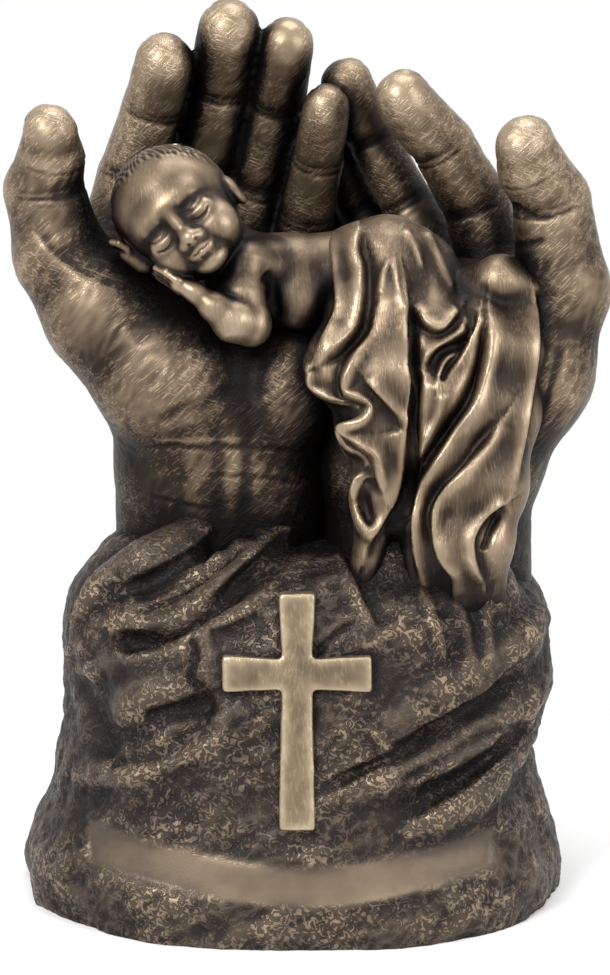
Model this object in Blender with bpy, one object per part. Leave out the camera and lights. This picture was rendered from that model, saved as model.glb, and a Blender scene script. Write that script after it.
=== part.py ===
"""Cast statue of a baby asleep in two cupped hands that rise from a rock with a cross on its front.

The statue is one casting, so it is one solid. It is modelled as a sculptor would build it: an
armature of tapered bones and balls for the hands, the baby and the cloth, run together over a set
blend, then folds and ledges laid on the front, then creases and clefts drawn with strokes, then
the crisp cross. Lengths are in millimetres until the end, and places on the hands, the baby and
the cloth are given from the middle of the rock's top. X is to the right, Y goes away from the
viewer and Z is up.
"""

import math
from dataclasses import dataclass

import bmesh
import bpy
import numpy as np
from mathutils import Euler, Matrix, Vector

MM = 0.001

# Driving sizes of the rock
ROCK_HEIGHT = 90.0
ROCK_LEFT = 67.0
ROCK_RIGHT = 62.0
ROCK_FRONT = 56.0
ROCK_BACK = 51.0
ROCK_SQUARENESS = 2.3
ROCK_TOP_SLOPE = 0.13
ROCK_TOP_DROP = 4.0
ROCK_TOP_ROUNDING = 14.0

# Driving sizes of the cross
CROSS_HEIGHT = 54.0
CROSS_WIDTH = 34.0
CROSS_BAR = 7.0
CROSS_FLARE = 0.7
CROSS_RELIEF = 2.2
CROSS_ROOT = 11.0
CROSS_EDGE = 0.45
CROSS_LEAN = math.radians(10.0)
CROSS_FOOT = 27.5
CROSS_SIDE = -1.8
CROSS_ARMS_AT = 0.66

# Driving sizes of the hands
WRIST_SQUEEZE = 0.74
PALM_THICKNESS = 8.0
PAD_SHARE = 0.16
CREASE_DEPTH = 0.7
CREASE_WIDTH = 1.0

# Driving sizes of the baby's head
HEAD_HALF_WIDTH = 14.2
HEAD_HALF_DEPTH = 15.0
HEAD_HALF_HEIGHT = 16.4
HEAD_CENTRE = (-28.8, -12.0, 73.0)
HEAD_ROLL = math.radians(-43.0)
HEAD_NOD = math.radians(-11.0)

# Driving sizes of the folds and ledges
HEM_RADIUS = 1.5
HEM_SINK = 0.5
FOLD_STEEP = 0.9
LEDGE_STEEP = 1.4
VALLEY_REACH = 1.7
LEDGE_SINK = 0.45
PLAIN_LEDGE_SINK = 0.7

# How far neighbouring forms run into each other
PALM_BLEND = 7.0
FINGER_BLEND = 0.9
KNUCKLE_BLEND = 4.0
ROCK_BLEND = 4.0
LEDGE_BLEND = 2.5
BABY_BLEND = 2.0
FACE_BLEND = 2.2
CLOTH_BLEND = 3.5
HEM_BLEND = 1.6
CONTACT_BLEND = 0.5

# Fineness of the surface
VOXEL = 1.1
TRIANGLES = 11700
FINE_COLLAPSE = 0.12
FINE_REACH = 1.2
EDGE_FADE = 6.0
FARTHEST = 12.0


def smooth_union(first, second, blend):
    """The nearer of two distances, rounded where they are within blend of each other."""
    near = np.maximum(blend - np.abs(first - second), 0.0) / blend
    return np.minimum(first, second) - near * near * blend * 0.25


def curve_through(points, steps=5):
    """Points along a Catmull-Rom curve through the given points."""
    given = np.array(points, float)
    padded = np.vstack((2 * given[0] - given[1], given, 2 * given[-1] - given[-2]))
    found = []
    for index in range(len(given) - 1):
        a, b, c, d = padded[index:index + 4]
        for t in np.arange(steps) / steps:
            found.append(0.5 * (2 * b + (c - a) * t + (2 * a - 5 * b + 4 * c - d) * t ** 2
                                + (3 * b - a - 3 * c + d) * t ** 3))
    found.append(given[-1])
    return np.array(found)


@dataclass(frozen=True)
class Bone:
    """A tapered bar with round ends. squeeze flattens it front to back."""

    start: tuple
    end: tuple
    start_radius: float
    end_radius: float
    squeeze: float = 1.0

    def distance(self, points):
        """Distance of each point from the surface, below zero inside."""
        shape = np.array((1.0, self.squeeze, 1.0))
        start = np.array(self.start) / shape
        along = np.array(self.end) / shape - start
        away = points / shape - start
        share = np.clip(away @ along / (along @ along), 0.0, 1.0)
        radius = self.start_radius + (self.end_radius - self.start_radius) * share
        gap = np.linalg.norm(away - share[:, None] * along, axis=1) - radius
        return gap * min(1.0, self.squeeze)

    def bounds(self):
        """The corners of a box round the bone."""
        ends = np.array((self.start, self.end))
        radii = np.array((self.start_radius, self.end_radius))[:, None]
        return (ends - radii).min(0), (ends + radii).max(0)

    def add_to(self, shape):
        """Adds a rough copy to a bmesh: a ball pulled apart at its middle."""
        stretch = Matrix.Diagonal((1.0, self.squeeze, 1.0))
        start, end = (stretch.inverted() @ Vector(point) for point in (self.start, self.end))
        turn = (end - start).to_track_quat("Z", "Y")
        made = bmesh.ops.create_icosphere(shape, subdivisions=3, radius=1.0)["verts"]
        for vert in made:
            if vert.co.z > 0.0:
                vert.co = stretch @ (end + turn @ vert.co * self.end_radius)
            else:
                vert.co = stretch @ (start + turn @ vert.co * self.start_radius)


@dataclass(frozen=True)
class Ball:
    """An ellipsoid, turned by Euler angles."""

    centre: tuple
    radii: tuple
    turn: tuple = (0.0, 0.0, 0.0)

    def bounds(self):
        """The corners of a box round the ball."""
        centre, reach = np.array(self.centre), max(self.radii)
        return centre - reach, centre + reach

    def distance(self, points):
        """Distance of each point from the surface, below zero inside."""
        local = (points - np.array(self.centre)) @ np.array(Euler(self.turn).to_matrix())
        radii = np.array(self.radii)
        near = np.linalg.norm(local / radii, axis=1)
        slope = np.linalg.norm(local / radii ** 2, axis=1) + 1e-9
        return near * (near - 1.0) / slope

    def add_to(self, shape):
        """Adds a rough copy to a bmesh."""
        made = bmesh.ops.create_icosphere(shape, subdivisions=3, radius=1.0)["verts"]
        place = Matrix.LocRotScale(self.centre, Euler(self.turn), self.radii)
        bmesh.ops.transform(shape, matrix=place, verts=made)


@dataclass(frozen=True)
class Lump:
    """Forms that run into each other over blend millimetres."""

    forms: tuple
    blend: float

    def bounds(self):
        """The corners of a box round every form."""
        boxes = [form.bounds() for form in self.forms]
        return np.min([low for low, _ in boxes], 0), np.max([high for _, high in boxes], 0)

    def distance(self, points):
        """Distance of each point from the surface, below zero inside, and FARTHEST where it is more."""
        total = np.full(len(points), FARTHEST)
        for form in self.forms:
            low, high = form.bounds()
            outside = np.linalg.norm(np.maximum(np.maximum(low - points, points - high), 0.0), axis=1)
            near = outside < total + self.blend
            total[near] = smooth_union(total[near], form.distance(points[near]), self.blend)
        return total

    def add_to(self, shape):
        """Adds every form to a bmesh."""
        for form in self.forms:
            form.add_to(shape)


@dataclass(frozen=True)
class Hollowed:
    """A form with softly sunk places, such as the sockets of the eyes."""

    form: Lump
    hollows: tuple
    blend: float

    def bounds(self):
        """The corners of a box round the form."""
        return self.form.bounds()

    def distance(self, points):
        """Distance of each point from the surface, below zero inside."""
        outside = -self.form.distance(points)
        for hollow in self.hollows:
            outside = smooth_union(outside, hollow.distance(points), self.blend)
        return -outside

    def add_to(self, shape):
        """Adds the form to a bmesh. Its hollows come when the surface settles."""
        self.form.add_to(shape)


@dataclass(frozen=True)
class Rock:
    """The rock, by its reach to each side at heights given as shares of its own."""

    left: tuple = ((-0.08, 0.97), (0.10, 1.0), (0.23, 0.93), (0.40, 0.88), (0.60, 0.86), (0.78, 0.84),
                   (0.88, 0.76), (0.97, 0.68), (1.08, 0.52))
    right: tuple = ((-0.08, 0.97), (0.06, 1.0), (0.17, 0.97), (0.30, 0.91), (0.40, 0.865), (0.46, 0.91),
                    (0.60, 0.96), (0.77, 0.93), (0.87, 0.85), (0.97, 0.70), (1.08, 0.52))
    front: tuple = ((-0.08, 0.96), (0.07, 1.0), (0.30, 0.93), (0.56, 0.84), (0.78, 0.75), (0.94, 0.62),
                    (1.08, 0.46))
    back: tuple = ((-0.08, 0.95), (0.10, 1.0), (0.40, 0.98), (0.65, 0.93), (0.88, 0.78), (1.08, 0.55))

    def bounds(self):
        """The corners of a box round the rock."""
        top = ROCK_HEIGHT + ROCK_TOP_SLOPE * ROCK_LEFT
        return np.array((-ROCK_LEFT, -ROCK_FRONT, -top)), np.array((ROCK_RIGHT, ROCK_BACK, top))

    def reach(self, side, size, heights):
        """How far the rock reaches to one side at each height."""
        path = curve_through(side)
        return np.interp(heights / ROCK_HEIGHT, path[:, 0], path[:, 1]) * size

    def top(self, x):
        """The height of the rock's top, which falls to the right."""
        return ROCK_HEIGHT - ROCK_TOP_DROP - ROCK_TOP_SLOPE * x

    def nearness(self, points):
        """Each point's share of the way from the axis to the side, and the shorter reach there."""
        x, y, z = points.T
        across = np.where(x < 0, self.reach(self.left, ROCK_LEFT, z), self.reach(self.right, ROCK_RIGHT, z))
        deep = np.where(y < 0, self.reach(self.front, ROCK_FRONT, z), self.reach(self.back, ROCK_BACK, z))
        share = (np.abs(x / across) ** ROCK_SQUARENESS + np.abs(y / deep) ** ROCK_SQUARENESS)
        return share ** (1 / ROCK_SQUARENESS), np.minimum(across, deep)

    def distance(self, points):
        """Distance of each point from the surface, below zero inside."""
        share, reach = self.nearness(points)
        side = (share - 1.0) * reach
        return -smooth_union(-side, self.top(points[:, 0]) - points[:, 2], ROCK_TOP_ROUNDING)

    def add_to(self, shape, rings=14, sides=64):
        """Adds a stack of rings, joined and capped, to a bmesh."""
        heights = np.linspace(-0.07, 1.0, rings) * ROCK_HEIGHT
        stack = [bmesh.ops.create_circle(shape, segments=sides, radius=1.0)["verts"] for _ in heights]
        for height, ring in zip(heights, stack):
            for vert in ring:
                share, _ = self.nearness(np.array([(vert.co.x, vert.co.y, height)]))
                x, y = vert.co.x / share[0], vert.co.y / share[0]
                vert.co = Vector((x, y, height * self.top(x) / ROCK_HEIGHT))
        rims = [{edge for vert in ring for edge in vert.link_edges} for ring in stack]
        for low, high in zip(rims, rims[1:]):
            bmesh.ops.bridge_loops(shape, edges=[*low, *high])
        for ring in (stack[0], stack[-1]):
            bmesh.ops.contextual_create(shape, geom=ring)


@dataclass(frozen=True)
class Stroke:
    """A mark drawn on the front through points of X and Z: a ridge, or below zero a groove.

    A steep width and a valley make it the turned edge of a fold: gentle on the left of its way, or
    on the right where side is -1.0, and steep towards the valley on the other.
    """

    line: tuple
    width: float
    height: float
    behind: float = 10.0
    side: float = 1.0
    steep: float = 0.0
    valley: float = 0.0

    def lift(self, points, normals):
        """How far the stroke raises each point along its normal."""
        path = curve_through(self.line)
        flat = points[:, (0, 2)]
        margin = 2.5 * self.width + 6.0 * self.steep
        facing = np.clip((0.3 - normals[:, 1]) / 0.6, 0.0, 1.0)
        shown = facing * np.clip((self.behind - points[:, 1]) / EDGE_FADE, 0.0, 1.0)
        inside = ((flat > path.min(0) - margin) & (flat < path.max(0) + margin)).all(1)
        chosen = np.where(inside & (shown > 0.0))[0]
        lifted = np.zeros(len(points))
        nearest = np.full(len(chosen), np.inf)
        leaning, share_along = np.zeros(len(chosen)), np.zeros(len(chosen))
        for index in range(len(path) - 1):
            start, along = path[index], path[index + 1] - path[index]
            away = flat[chosen] - start
            share = np.clip(away @ along / (along @ along), 0.0, 1.0)
            gap = np.linalg.norm(away - share[:, None] * along, axis=1)
            closer = gap < nearest
            nearest[closer] = gap[closer]
            leaning[closer] = (along[0] * away[closer, 1] - along[1] * away[closer, 0]) * self.side
            share_along[closer] = (index + share[closer]) / (len(path) - 1)
        ends = np.clip(np.sin(np.pi * np.clip(share_along, 0.02, 0.98)) * 2.2, 0.0, 1.0)
        profile = self.height * np.exp(-(nearest / self.width) ** 2)
        if self.valley:
            reach = VALLEY_REACH * self.steep
            dip = self.valley * nearest / reach * np.exp(1.0 - nearest / reach)
            sharp = self.height * np.exp(-(nearest / self.steep) ** 2) - dip
            profile = np.where(leaning > 0.0, profile, sharp)
        lifted[chosen] = profile * ends * shown[chosen]
        return lifted


def from_rock_top(*points):
    """Points given from the middle of the rock's top, as points from the floor."""
    return tuple((x, y, z + ROCK_HEIGHT) for x, y, z in points)


def limb(points, radii, blend, squeeze=1.0):
    """A chain of bones through the points, with a radius at each."""
    joints = from_rock_top(*points)
    bones = tuple(
        Bone(joints[i], joints[i + 1], radii[i], radii[i + 1], squeeze) for i in range(len(joints) - 1)
    )
    return Lump(bones, blend)


def face_of(form, x, z, inward):
    """Where a form is first met at places on X and Z, going inward along Y, or where it is nearest."""
    points = np.stack((x, np.full(len(x), -2.0 * ROCK_FRONT * inward), z), axis=1)
    nearest, met = np.full(len(x), np.inf), points[:, 1].copy()
    for _ in range(60):
        gap = form.distance(points)
        closer = gap < nearest - 0.01
        nearest[closer], met[closer] = gap[closer], points[closer, 1]
        points[:, 1] += np.clip(gap, 0.0, 4.0) * 0.9 * inward
    return met


def laid_on(form, line, radius, sink, inward=1.0, steps=3):
    """A round cord of bones laid along a line of X and Z on a form's face, thinner at its ends."""
    path = curve_through([(x, z + ROCK_HEIGHT) for x, z in line], steps)
    depth = face_of(form, path[:, 0], path[:, 1], inward)
    swell = np.clip(np.sin(np.pi * np.linspace(0.12, 0.88, len(path))) * 1.3, 0.0, 1.0) * radius
    joints = [(x, y + inward * sink * size, z) for (x, z), y, size in zip(path, depth, swell)]
    bones = tuple(Bone(joints[i], joints[i + 1], swell[i], swell[i + 1]) for i in range(len(joints) - 1))
    return Lump(bones, HEM_BLEND)


@dataclass(frozen=True)
class Finger:
    """A finger: its root, two joints and tip, a radius at each, and the way its pads face."""

    joints: tuple
    radii: tuple
    pads: tuple

    def form(self):
        """The bones of the finger, with a soft pad between each pair of joints."""
        face = Vector(self.pads).normalized()
        parts = [limb(self.joints, self.radii, FINGER_BLEND)]
        for index in range(len(self.joints) - 1):
            root, tip = (Vector(point) for point in from_rock_top(*self.joints[index:index + 2]))
            radius = (self.radii[index] + self.radii[index + 1]) / 2
            shift = face * radius * PAD_SHARE
            parts.append(Bone(tuple(root.lerp(tip, 0.3) + shift), tuple(root.lerp(tip, 0.85) + shift),
                              radius * 0.95, radius * 0.92))
        return Lump(tuple(parts), FINGER_BLEND)

    def crease(self, points, normals):
        """How far the creases across the pad side sink each point."""
        face = np.array(Vector(self.pads).normalized())
        joints = np.array(from_rock_top(*self.joints))
        sunk = np.zeros(len(points))
        for index in (1, 2):
            along = joints[index + 1] - joints[index - 1]
            along /= np.linalg.norm(along)
            offset = (points - joints[index]) @ along
            aside = np.linalg.norm(points - joints[index] - offset[:, None] * along, axis=1)
            facing = np.clip(normals @ face + 0.25, 0.0, 1.0) * (aside < self.radii[index] * 1.5)
            sunk += CREASE_DEPTH * np.exp(-(offset / CREASE_WIDTH) ** 2) * facing
        return sunk


# Fingers from the index to the little one, then the thumb
LEFT_FINGERS = (
    Finger(((-47, 28, 60), (-42.5, 31, 76.5), (-36.6, 26, 93.5), (-33.4, 20, 105)),
           (8.2, 7.8, 7.5, 7.1), (0.3, -1.0, 0.1)),
    Finger(((-28, 36, 58), (-24, 37, 78), (-20.2, 31, 98), (-18, 22, 112.4)),
           (8.2, 8.0, 8.0, 7.2), (0.15, -1.0, 0.1)),
    Finger(((-16, 38, 55), (-12.2, 37, 72), (-7, 31, 94), (-4.3, 22, 109)),
           (7.6, 7.3, 7.0, 6.3), (0.1, -1.0, 0.1)),
    Finger(((-2.4, 34, 53.5), (0.2, 31, 66), (3.0, 25, 81), (5.1, 17, 94.7)),
           (6.6, 6.5, 6.1, 5.4), (0.0, -1.0, 0.1)),
)
RIGHT_FINGERS = (
    Finger(((46.5, 14, 52.5), (41, 15, 71.5), (32.8, 12, 86), (22.9, 6, 98)),
           (8.2, 7.9, 7.3, 6.6), (-0.6, -0.8, -0.2)),
    Finger(((35, 26, 54), (25, 30, 69.5), (16, 29, 86), (10, 25, 99.3)),
           (7.0, 6.4, 5.9, 6.2), (-0.5, -0.9, -0.1)),
    Finger(((23, 36, 53), (14, 41, 65.5), (8.6, 41, 79), (4.9, 38, 89)),
           (6.6, 6.1, 5.7, 5.3), (-0.4, -0.9, 0.0)),
    Finger(((11, 44, 50), (6.7, 46, 62), (4.2, 46, 72), (2.7, 44, 81)),
           (6.2, 5.8, 5.3, 4.9), (-0.2, -1.0, 0.0)),
)
LEFT_THUMB = Finger(((-57, -4, 62), (-60.7, -3, 77.5), (-58.8, -6, 86), (-58.8, -9, 92.4)),
                    (10.2, 9.2, 7.5, 5.8), (0.6, -0.8, 0.1))
RIGHT_THUMB = Finger(((60, -4, 54), (57.4, -6, 75.5), (52.2, -10, 84), (50.6, -12, 89.4)),
                     (10.6, 8.8, 7.8, 6.6), (-0.6, -0.8, 0.1))
DIGITS = (*LEFT_FINGERS, *RIGHT_FINGERS, LEFT_THUMB, RIGHT_THUMB)


def hand(wrist, palm_roots, ball_of_thumb, heel, web, fingers, thumb):
    """One hand: wrist, palm, ball of the thumb, heel, web, four fingers and thumb."""
    palm = tuple(
        limb((root, one.joints[0]), (PALM_THICKNESS + 2.0, PALM_THICKNESS), PALM_BLEND)
        for root, one in zip(palm_roots, fingers)
    )
    body = Lump((wrist, *palm, ball_of_thumb, heel, web), PALM_BLEND)
    digits = Lump(tuple(one.form() for one in fingers), FINGER_BLEND)
    return Lump((body, thumb.form(), digits), KNUCKLE_BLEND)


def left_hand():
    """The hand on the viewer's left, under the baby's head and chest."""
    wrist = limb(((-19, 3, -30), (-19, -1, 12)), (26.0, 26.0), PALM_BLEND, WRIST_SQUEEZE)
    roots = ((-32, 4, 14), (-24, 6, 14), (-14, 6, 14), (-5, 4, 14))
    ball_of_thumb = limb(((-21, -4, 22), (-32, -8, 36), (-46.6, -6, 49.5), LEFT_THUMB.joints[0]),
                         (17.0, 16.8, 13.2, 10.2), PALM_BLEND)
    heel = Ball(*from_rock_top((-3.5, -10, 33)), (12.0, 12.0, 14.0))
    web = limb(((-52, 4, 56), (-44, 24, 58)), (8.0, 8.0), PALM_BLEND)
    hollow = limb(((-30, 8, 46), (-14, 10, 44), (6, 10, 42), (24, 12, 42)), (9.0, 9.0, 9.0, 9.0), PALM_BLEND)
    whole = hand(wrist, roots, ball_of_thumb, heel, web, LEFT_FINGERS, LEFT_THUMB)
    return Lump((whole, hollow), PALM_BLEND)


def right_hand():
    """The hand on the viewer's right, under the cloth."""
    wrist = limb(((33, 5, -42), (32.5, 1, 10)), (22.0, 21.0), PALM_BLEND, WRIST_SQUEEZE + 0.06)
    roots = ((43, 4, 12), (37, 6, 12), (28, 8, 12), (20, 8, 12))
    ball_of_thumb = limb(((41, -2, 17), (52.5, -4, 35), RIGHT_THUMB.joints[0]), (16.0, 14.0, 10.6),
                         PALM_BLEND)
    heel = Ball(*from_rock_top((19, -4, 33)), (13.0, 13.0, 15.0))
    web = limb(((54, 2, 50), (47, 12, 52)), (9.0, 8.0), PALM_BLEND)
    inner_edge = limb(((19, -7, 36), (17, -6, 14), (16, -6, -20)), (12.0, 12.0, 12.0), PALM_BLEND)
    whole = hand(wrist, roots, ball_of_thumb, heel, web, RIGHT_FINGERS, RIGHT_THUMB)
    return Lump((whole, inner_edge), PALM_BLEND)


HEAD_TURN = Matrix.Rotation(HEAD_ROLL, 3, "Y") @ Matrix.Rotation(HEAD_NOD, 3, "X")


def head_ball(place, radii):
    """An ellipsoid that turns with the head. Its place and radii are shares of the head's."""
    halves = (HEAD_HALF_WIDTH, HEAD_HALF_DEPTH, HEAD_HALF_HEIGHT)
    local = Vector([share * half for share, half in zip(place, halves)])
    centre = Vector(from_rock_top(HEAD_CENTRE)[0]) + HEAD_TURN @ local
    size = tuple(share * half for share, half in zip(radii, halves))
    return Ball(tuple(centre), size, tuple(HEAD_TURN.to_euler()))


def in_pair(place, radii):
    """The same ellipsoid on both sides of the head."""
    x, y, z = place
    return head_ball((x, y, z), radii), head_ball((-x, y, z), radii)


def head():
    """The sleeping head on a child's proportions: the closed eyes lie below its middle."""
    skull = head_ball((0.0, 0.06, 0.16), (0.97, 0.98, 0.87))
    lower_face = head_ball((0.0, -0.14, -0.38), (0.78, 0.80, 0.62))
    cheeks = in_pair((0.40, -0.56, -0.46), (0.38, 0.34, 0.36))
    brow = head_ball((0.0, -0.60, 0.12), (0.62, 0.36, 0.26))
    chin = head_ball((0.0, -0.78, -0.84), (0.24, 0.18, 0.15))
    nose = head_ball((0.0, -0.99, -0.42), (0.14, 0.15, 0.12))
    bridge = head_ball((0.0, -0.90, -0.26), (0.10, 0.12, 0.20))
    mouth = head_ball((0.0, -0.90, -0.65), (0.22, 0.11, 0.10))
    ears = in_pair((0.86, 0.08, -0.32), (0.12, 0.20, 0.25))
    lids = in_pair((0.37, -0.81, -0.20), (0.19, 0.12, 0.12))
    sockets = in_pair((0.37, -1.02, -0.17), (0.24, 0.20, 0.15))
    face = Lump((skull, lower_face, brow, *cheeks, chin), FACE_BLEND)
    features = Lump((Hollowed(face, sockets, FACE_BLEND), bridge, nose, mouth), FACE_BLEND / 2)
    return Lump((features, *lids, *ears), FACE_BLEND / 3)


def baby():
    """The sleeping baby: head on its side, arm folded under it, back, and hips under the cloth."""
    trunk = limb(((-14, -6, 58.5), (-4, -6, 57), (6, -5, 57.5), (17, -5, 59.5)),
                 (9.6, 10.6, 10.0, 10.6), BABY_BLEND)
    neck = limb(((-25, -8, 70), (-15, -6, 61)), (7.0, 7.5), BABY_BLEND)
    shoulder = Ball(*from_rock_top((-8.5, -12, 60.5)), (7.4, 6.4, 6.8))
    upper_arm = limb(((-12.6, -15.5, 61.5), (-12, -20, 55.5), (-11.2, -22.4, 50.4)),
                     (6.6, 5.2, 4.7), BABY_BLEND)
    forearm = limb(((-11.4, -23.2, 49.4), (-15.6, -25, 51), (-20.6, -26, 54.4), (-25, -25.6, 57.4)),
                   (4.7, 4.4, 2.9, 1.9), BABY_BLEND)
    near_fingers = limb(((-25, -25.6, 57.4), (-28.6, -24.6, 59.4), (-33, -22, 61.4)),
                        (2.4, 2.0, 1.2), BABY_BLEND)
    far_hand = limb(((-37, -14.5, 63), (-40, -15, 65), (-43.6, -15, 66.6)), (3.2, 2.6, 1.6), BABY_BLEND)
    body = Lump((trunk, neck, shoulder), BABY_BLEND)
    arm = Lump((forearm, near_fingers), BABY_BLEND)
    return Lump((head(), Lump((body, upper_arm), BABY_BLEND), arm, far_hand), CONTACT_BLEND)


def cloth_ground():
    """The cloth without its folds: it covers the hips and hangs over the palm in three panels."""
    left_front = limb(((10, -5, 60), (9, -16, 51), (8, -22, 40), (13, -24, 30), (13, -25, 25), (17, -26, 14),
                       (16.5, -27, 4), (13, -29, -8)), (8.0, 7.8, 7.8, 6.2, 5.6, 5.0, 4.2, 2.6), CLOTH_BLEND)
    left_back = limb(((20, -6, 60), (19, -17, 51), (18, -24, 38), (18.5, -25, 24), (18.5, -27, 12)),
                     (9.0, 8.2, 7.2, 6.2, 5.0), CLOTH_BLEND)
    middle = limb(((28, -6, 57), (30, -14, 47), (30, -20, 34), (28, -24, 20), (26.5, -27, 6),
                   (27, -31, -13)), (7.5, 7.2, 7.2, 6.6, 6.0, 3.6), CLOTH_BLEND)
    right_inner = limb(((40, -8, 54), (40, -18, 44), (38, -22, 30), (36, -26, 14), (35, -29, 0),
                        (36, -30, -17)), (7.0, 8.0, 8.4, 8.4, 7.2, 3.4), CLOTH_BLEND)
    right_outer = limb(((49.5, -9, 53), (48, -16, 42), (46, -20, 28), (43, -25, 12), (41, -28, 0),
                        (41.5, -28, -17)), (6.6, 7.4, 8.0, 7.8, 6.6, 3.4), CLOTH_BLEND)
    over_the_hips = limb(((24, 1, 54), (36, 2, 52), (46, 1, 53)), (8.0, 8.0, 7.0), CLOTH_BLEND)
    left = Lump((left_front, left_back), CLOTH_BLEND)
    right = Lump((middle, right_inner, right_outer, over_the_hips), CLOTH_BLEND)
    return Lump((left, right), HEM_BLEND)


def cloth():
    """The cloth with its turned hem laid on."""
    ground = cloth_ground()
    hem = ((1, 40), (2.5, 35.5), (7, 33.5), (13, 32), (11, 28.5), (8, 26), (10, 22.5), (14, 20.5), (17, 14))
    flap = ((13.5, 15), (12, 10), (13, 5), (16, 2))
    edges = tuple(laid_on(ground, line, HEM_RADIUS, HEM_SINK) for line in (hem, flap))
    roll = limb(((39, -10, 55), (45, -11, 57), (51, -10, 55)), (5.0, 6.0, 5.4), CLOTH_BLEND)
    return Lump((ground, roll, *edges), HEM_BLEND)


def below_rock_top(line):
    """A line given from the middle of the rock's top, as a line from the floor."""
    return tuple((x, z + ROCK_HEIGHT) for x, z in line)


def cloth_folds():
    """The turned edges of the folds: gentle side, its width, height, depth of the valley, and line."""
    folds = (
        (1.0, 1.8, 0.8, 0.8, ((6.9, 69), (6.1, 65), (6.9, 60), (7.3, 54), (5.4, 48.5), (2.6, 43.5))),
        (-1.0, 3.5, 1.4, 2.2, ((12.4, 70), (12.1, 65.5), (13.2, 61), (12.5, 53.3), (11, 48.7), (6.5, 44.8),
                               (2.3, 41))),
        (1.0, 2.6, 1.3, 1.8, ((16.1, 53.6), (14.7, 48.3), (11, 43.7), (8.5, 38.3), (9.1, 34.8), (12.9, 33.6),
                              (14.4, 32.1), (12.9, 29.8), (8, 27.8), (8, 25.9), (11.8, 23.2), (15.6, 20.4),
                              (16.8, 15), (18.7, 10.3))),
        (-1.0, 1.6, 1.0, 1.6, ((12.9, 16.6), (11.4, 13.1), (12.2, 7.6), (14.7, 2.9))),
        (-1.0, 2.8, 1.4, 1.8, ((22.6, 60.8), (23.3, 54), (23, 46.3), (22.7, 41), (23.5, 36.3), (23.1, 30.2),
                               (22.8, 25.5), (22.4, 17.8), (21, 11.5), (17.9, 5.3), (14.9, 0.5), (13, -5))),
        (1.0, 2.4, 1.0, 1.2, ((13.6, 38.5), (17.8, 33.8), (21.3, 29.2), (22.4, 26.1))),
        (1.0, 1.8, 1.3, 1.6, ((25.2, 55), (27.2, 50.4), (31, 48.8), (34, 51.2), (35.6, 52.7))),
        (1.0, 1.6, 1.2, 1.4, ((26, 40.2), (29.4, 44.1), (33.2, 46.4), (35.8, 48.8), (36.5, 51.9))),
        (-1.0, 1.4, 1.2, 1.2, ((30.1, 36), (31.6, 41.4), (35.4, 44.5), (39.1, 49.9), (40, 53))),
        (1.0, 3.2, 1.3, 2.2, ((42, 53.5), (42, 46.6), (40.6, 38.9), (38.4, 32.7), (33.9, 26.5), (29.4, 19.4),
                              (26.4, 14.8), (24.7, 9.3), (24.4, 4.6), (25, -2.5), (27.3, -10.5))),
        (1.0, 2.8, 1.4, 2.2, ((45.1, 28.8), (42.1, 24.2), (37.6, 19.5), (32.3, 14.1), (29.3, 8.6),
                              (29.4, 3.1), (30.9, -2.4), (33.7, -7.1), (34.1, -13.4))),
        (-1.0, 2.2, 1.2, 1.5, ((46.1, 10.2), (43, 8.6), (40, 5.5), (38.2, 1.6), (39, -3.9), (41, -9.4))),
        (-1.0, 2.0, 0.7, 1.0, ((52.4, 57.1), (53.4, 49.5), (53.2, 41.8), (51.4, 30.9), (50, 23.1),
                               (47.9, 13))),
    )
    return [
        Stroke(below_rock_top(line), width, height, 10.0, side, FOLD_STEEP, valley)
        for side, width, height, valley, line in folds
    ]


def cloth_valleys():
    """The deepest valleys between the folds: depth and line."""
    valleys = (
        (2.8, ((24.6, 57), (24.6, 46.7), (25.2, 39), (24.9, 29.8), (25.2, 22), (24.8, 15), (22.8, 7.1),
               (19.2, 1.6))),
        (2.0, ((41, 52), (40, 41.8), (36.6, 34), (31.6, 25.5), (27.6, 20), (25.4, 14))),
        (2.0, ((30.8, 37.2), (32.4, 40.4), (35.2, 44.4), (36.6, 48))),
        (1.6, ((45.3, 7.4), (42.5, 3.3), (40.9, -1.6))),
    )
    return [Stroke(below_rock_top(line), FOLD_STEEP * VALLEY_REACH, -depth) for depth, line in valleys]


def rock_with_ledges():
    """The rock with its slanting ledges laid on the front and a few plain ones behind."""
    rock = Rock()
    ledges = (
        (((-52, -24), (-46, -15), (-36, -7), (-26, -2), (-14, 3)), 5.0),
        (((-54, -30), (-41, -20), (-28, -13), (-14, -5), (-4, 0)), 5.5),
        (((-52, -33), (-39, -27), (-26, -20), (-14, -13)), 4.5),
        (((-40, -38), (-34, -35), (-28, -34)), 8.0),
        (((-52, -57), (-38, -50), (-26, -43), (-15, -36)), 5.5),
        (((8, -2), (13, -10), (18, -19)), 3.2),
        (((16, -41), (28, -34), (40, -29), (55, -22)), 6.0),
        (((12, -55), (26, -48), (40, -43), (54, -38)), 6.0),
        (((24, -63), (38, -58), (52, -50)), 5.0),
    )
    plain_ledges = (
        (((-46, -34), (-20, -22), (8, -12)), 8.0),
        (((-34, -60), (4, -48), (42, -32)), 8.0),
        (((6, -74), (28, -66), (48, -60)), 7.0),
    )
    mound = Ball(*from_rock_top((21, -25, -7)), (8.0, 9.0, 9.0))
    front = tuple(laid_on(rock, line, radius, LEDGE_SINK) for line, radius in ledges)
    behind = tuple(laid_on(rock, line, radius, PLAIN_LEDGE_SINK, -1.0) for line, radius in plain_ledges)
    return Lump((rock, mound, *front, *behind), LEDGE_BLEND)


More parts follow.
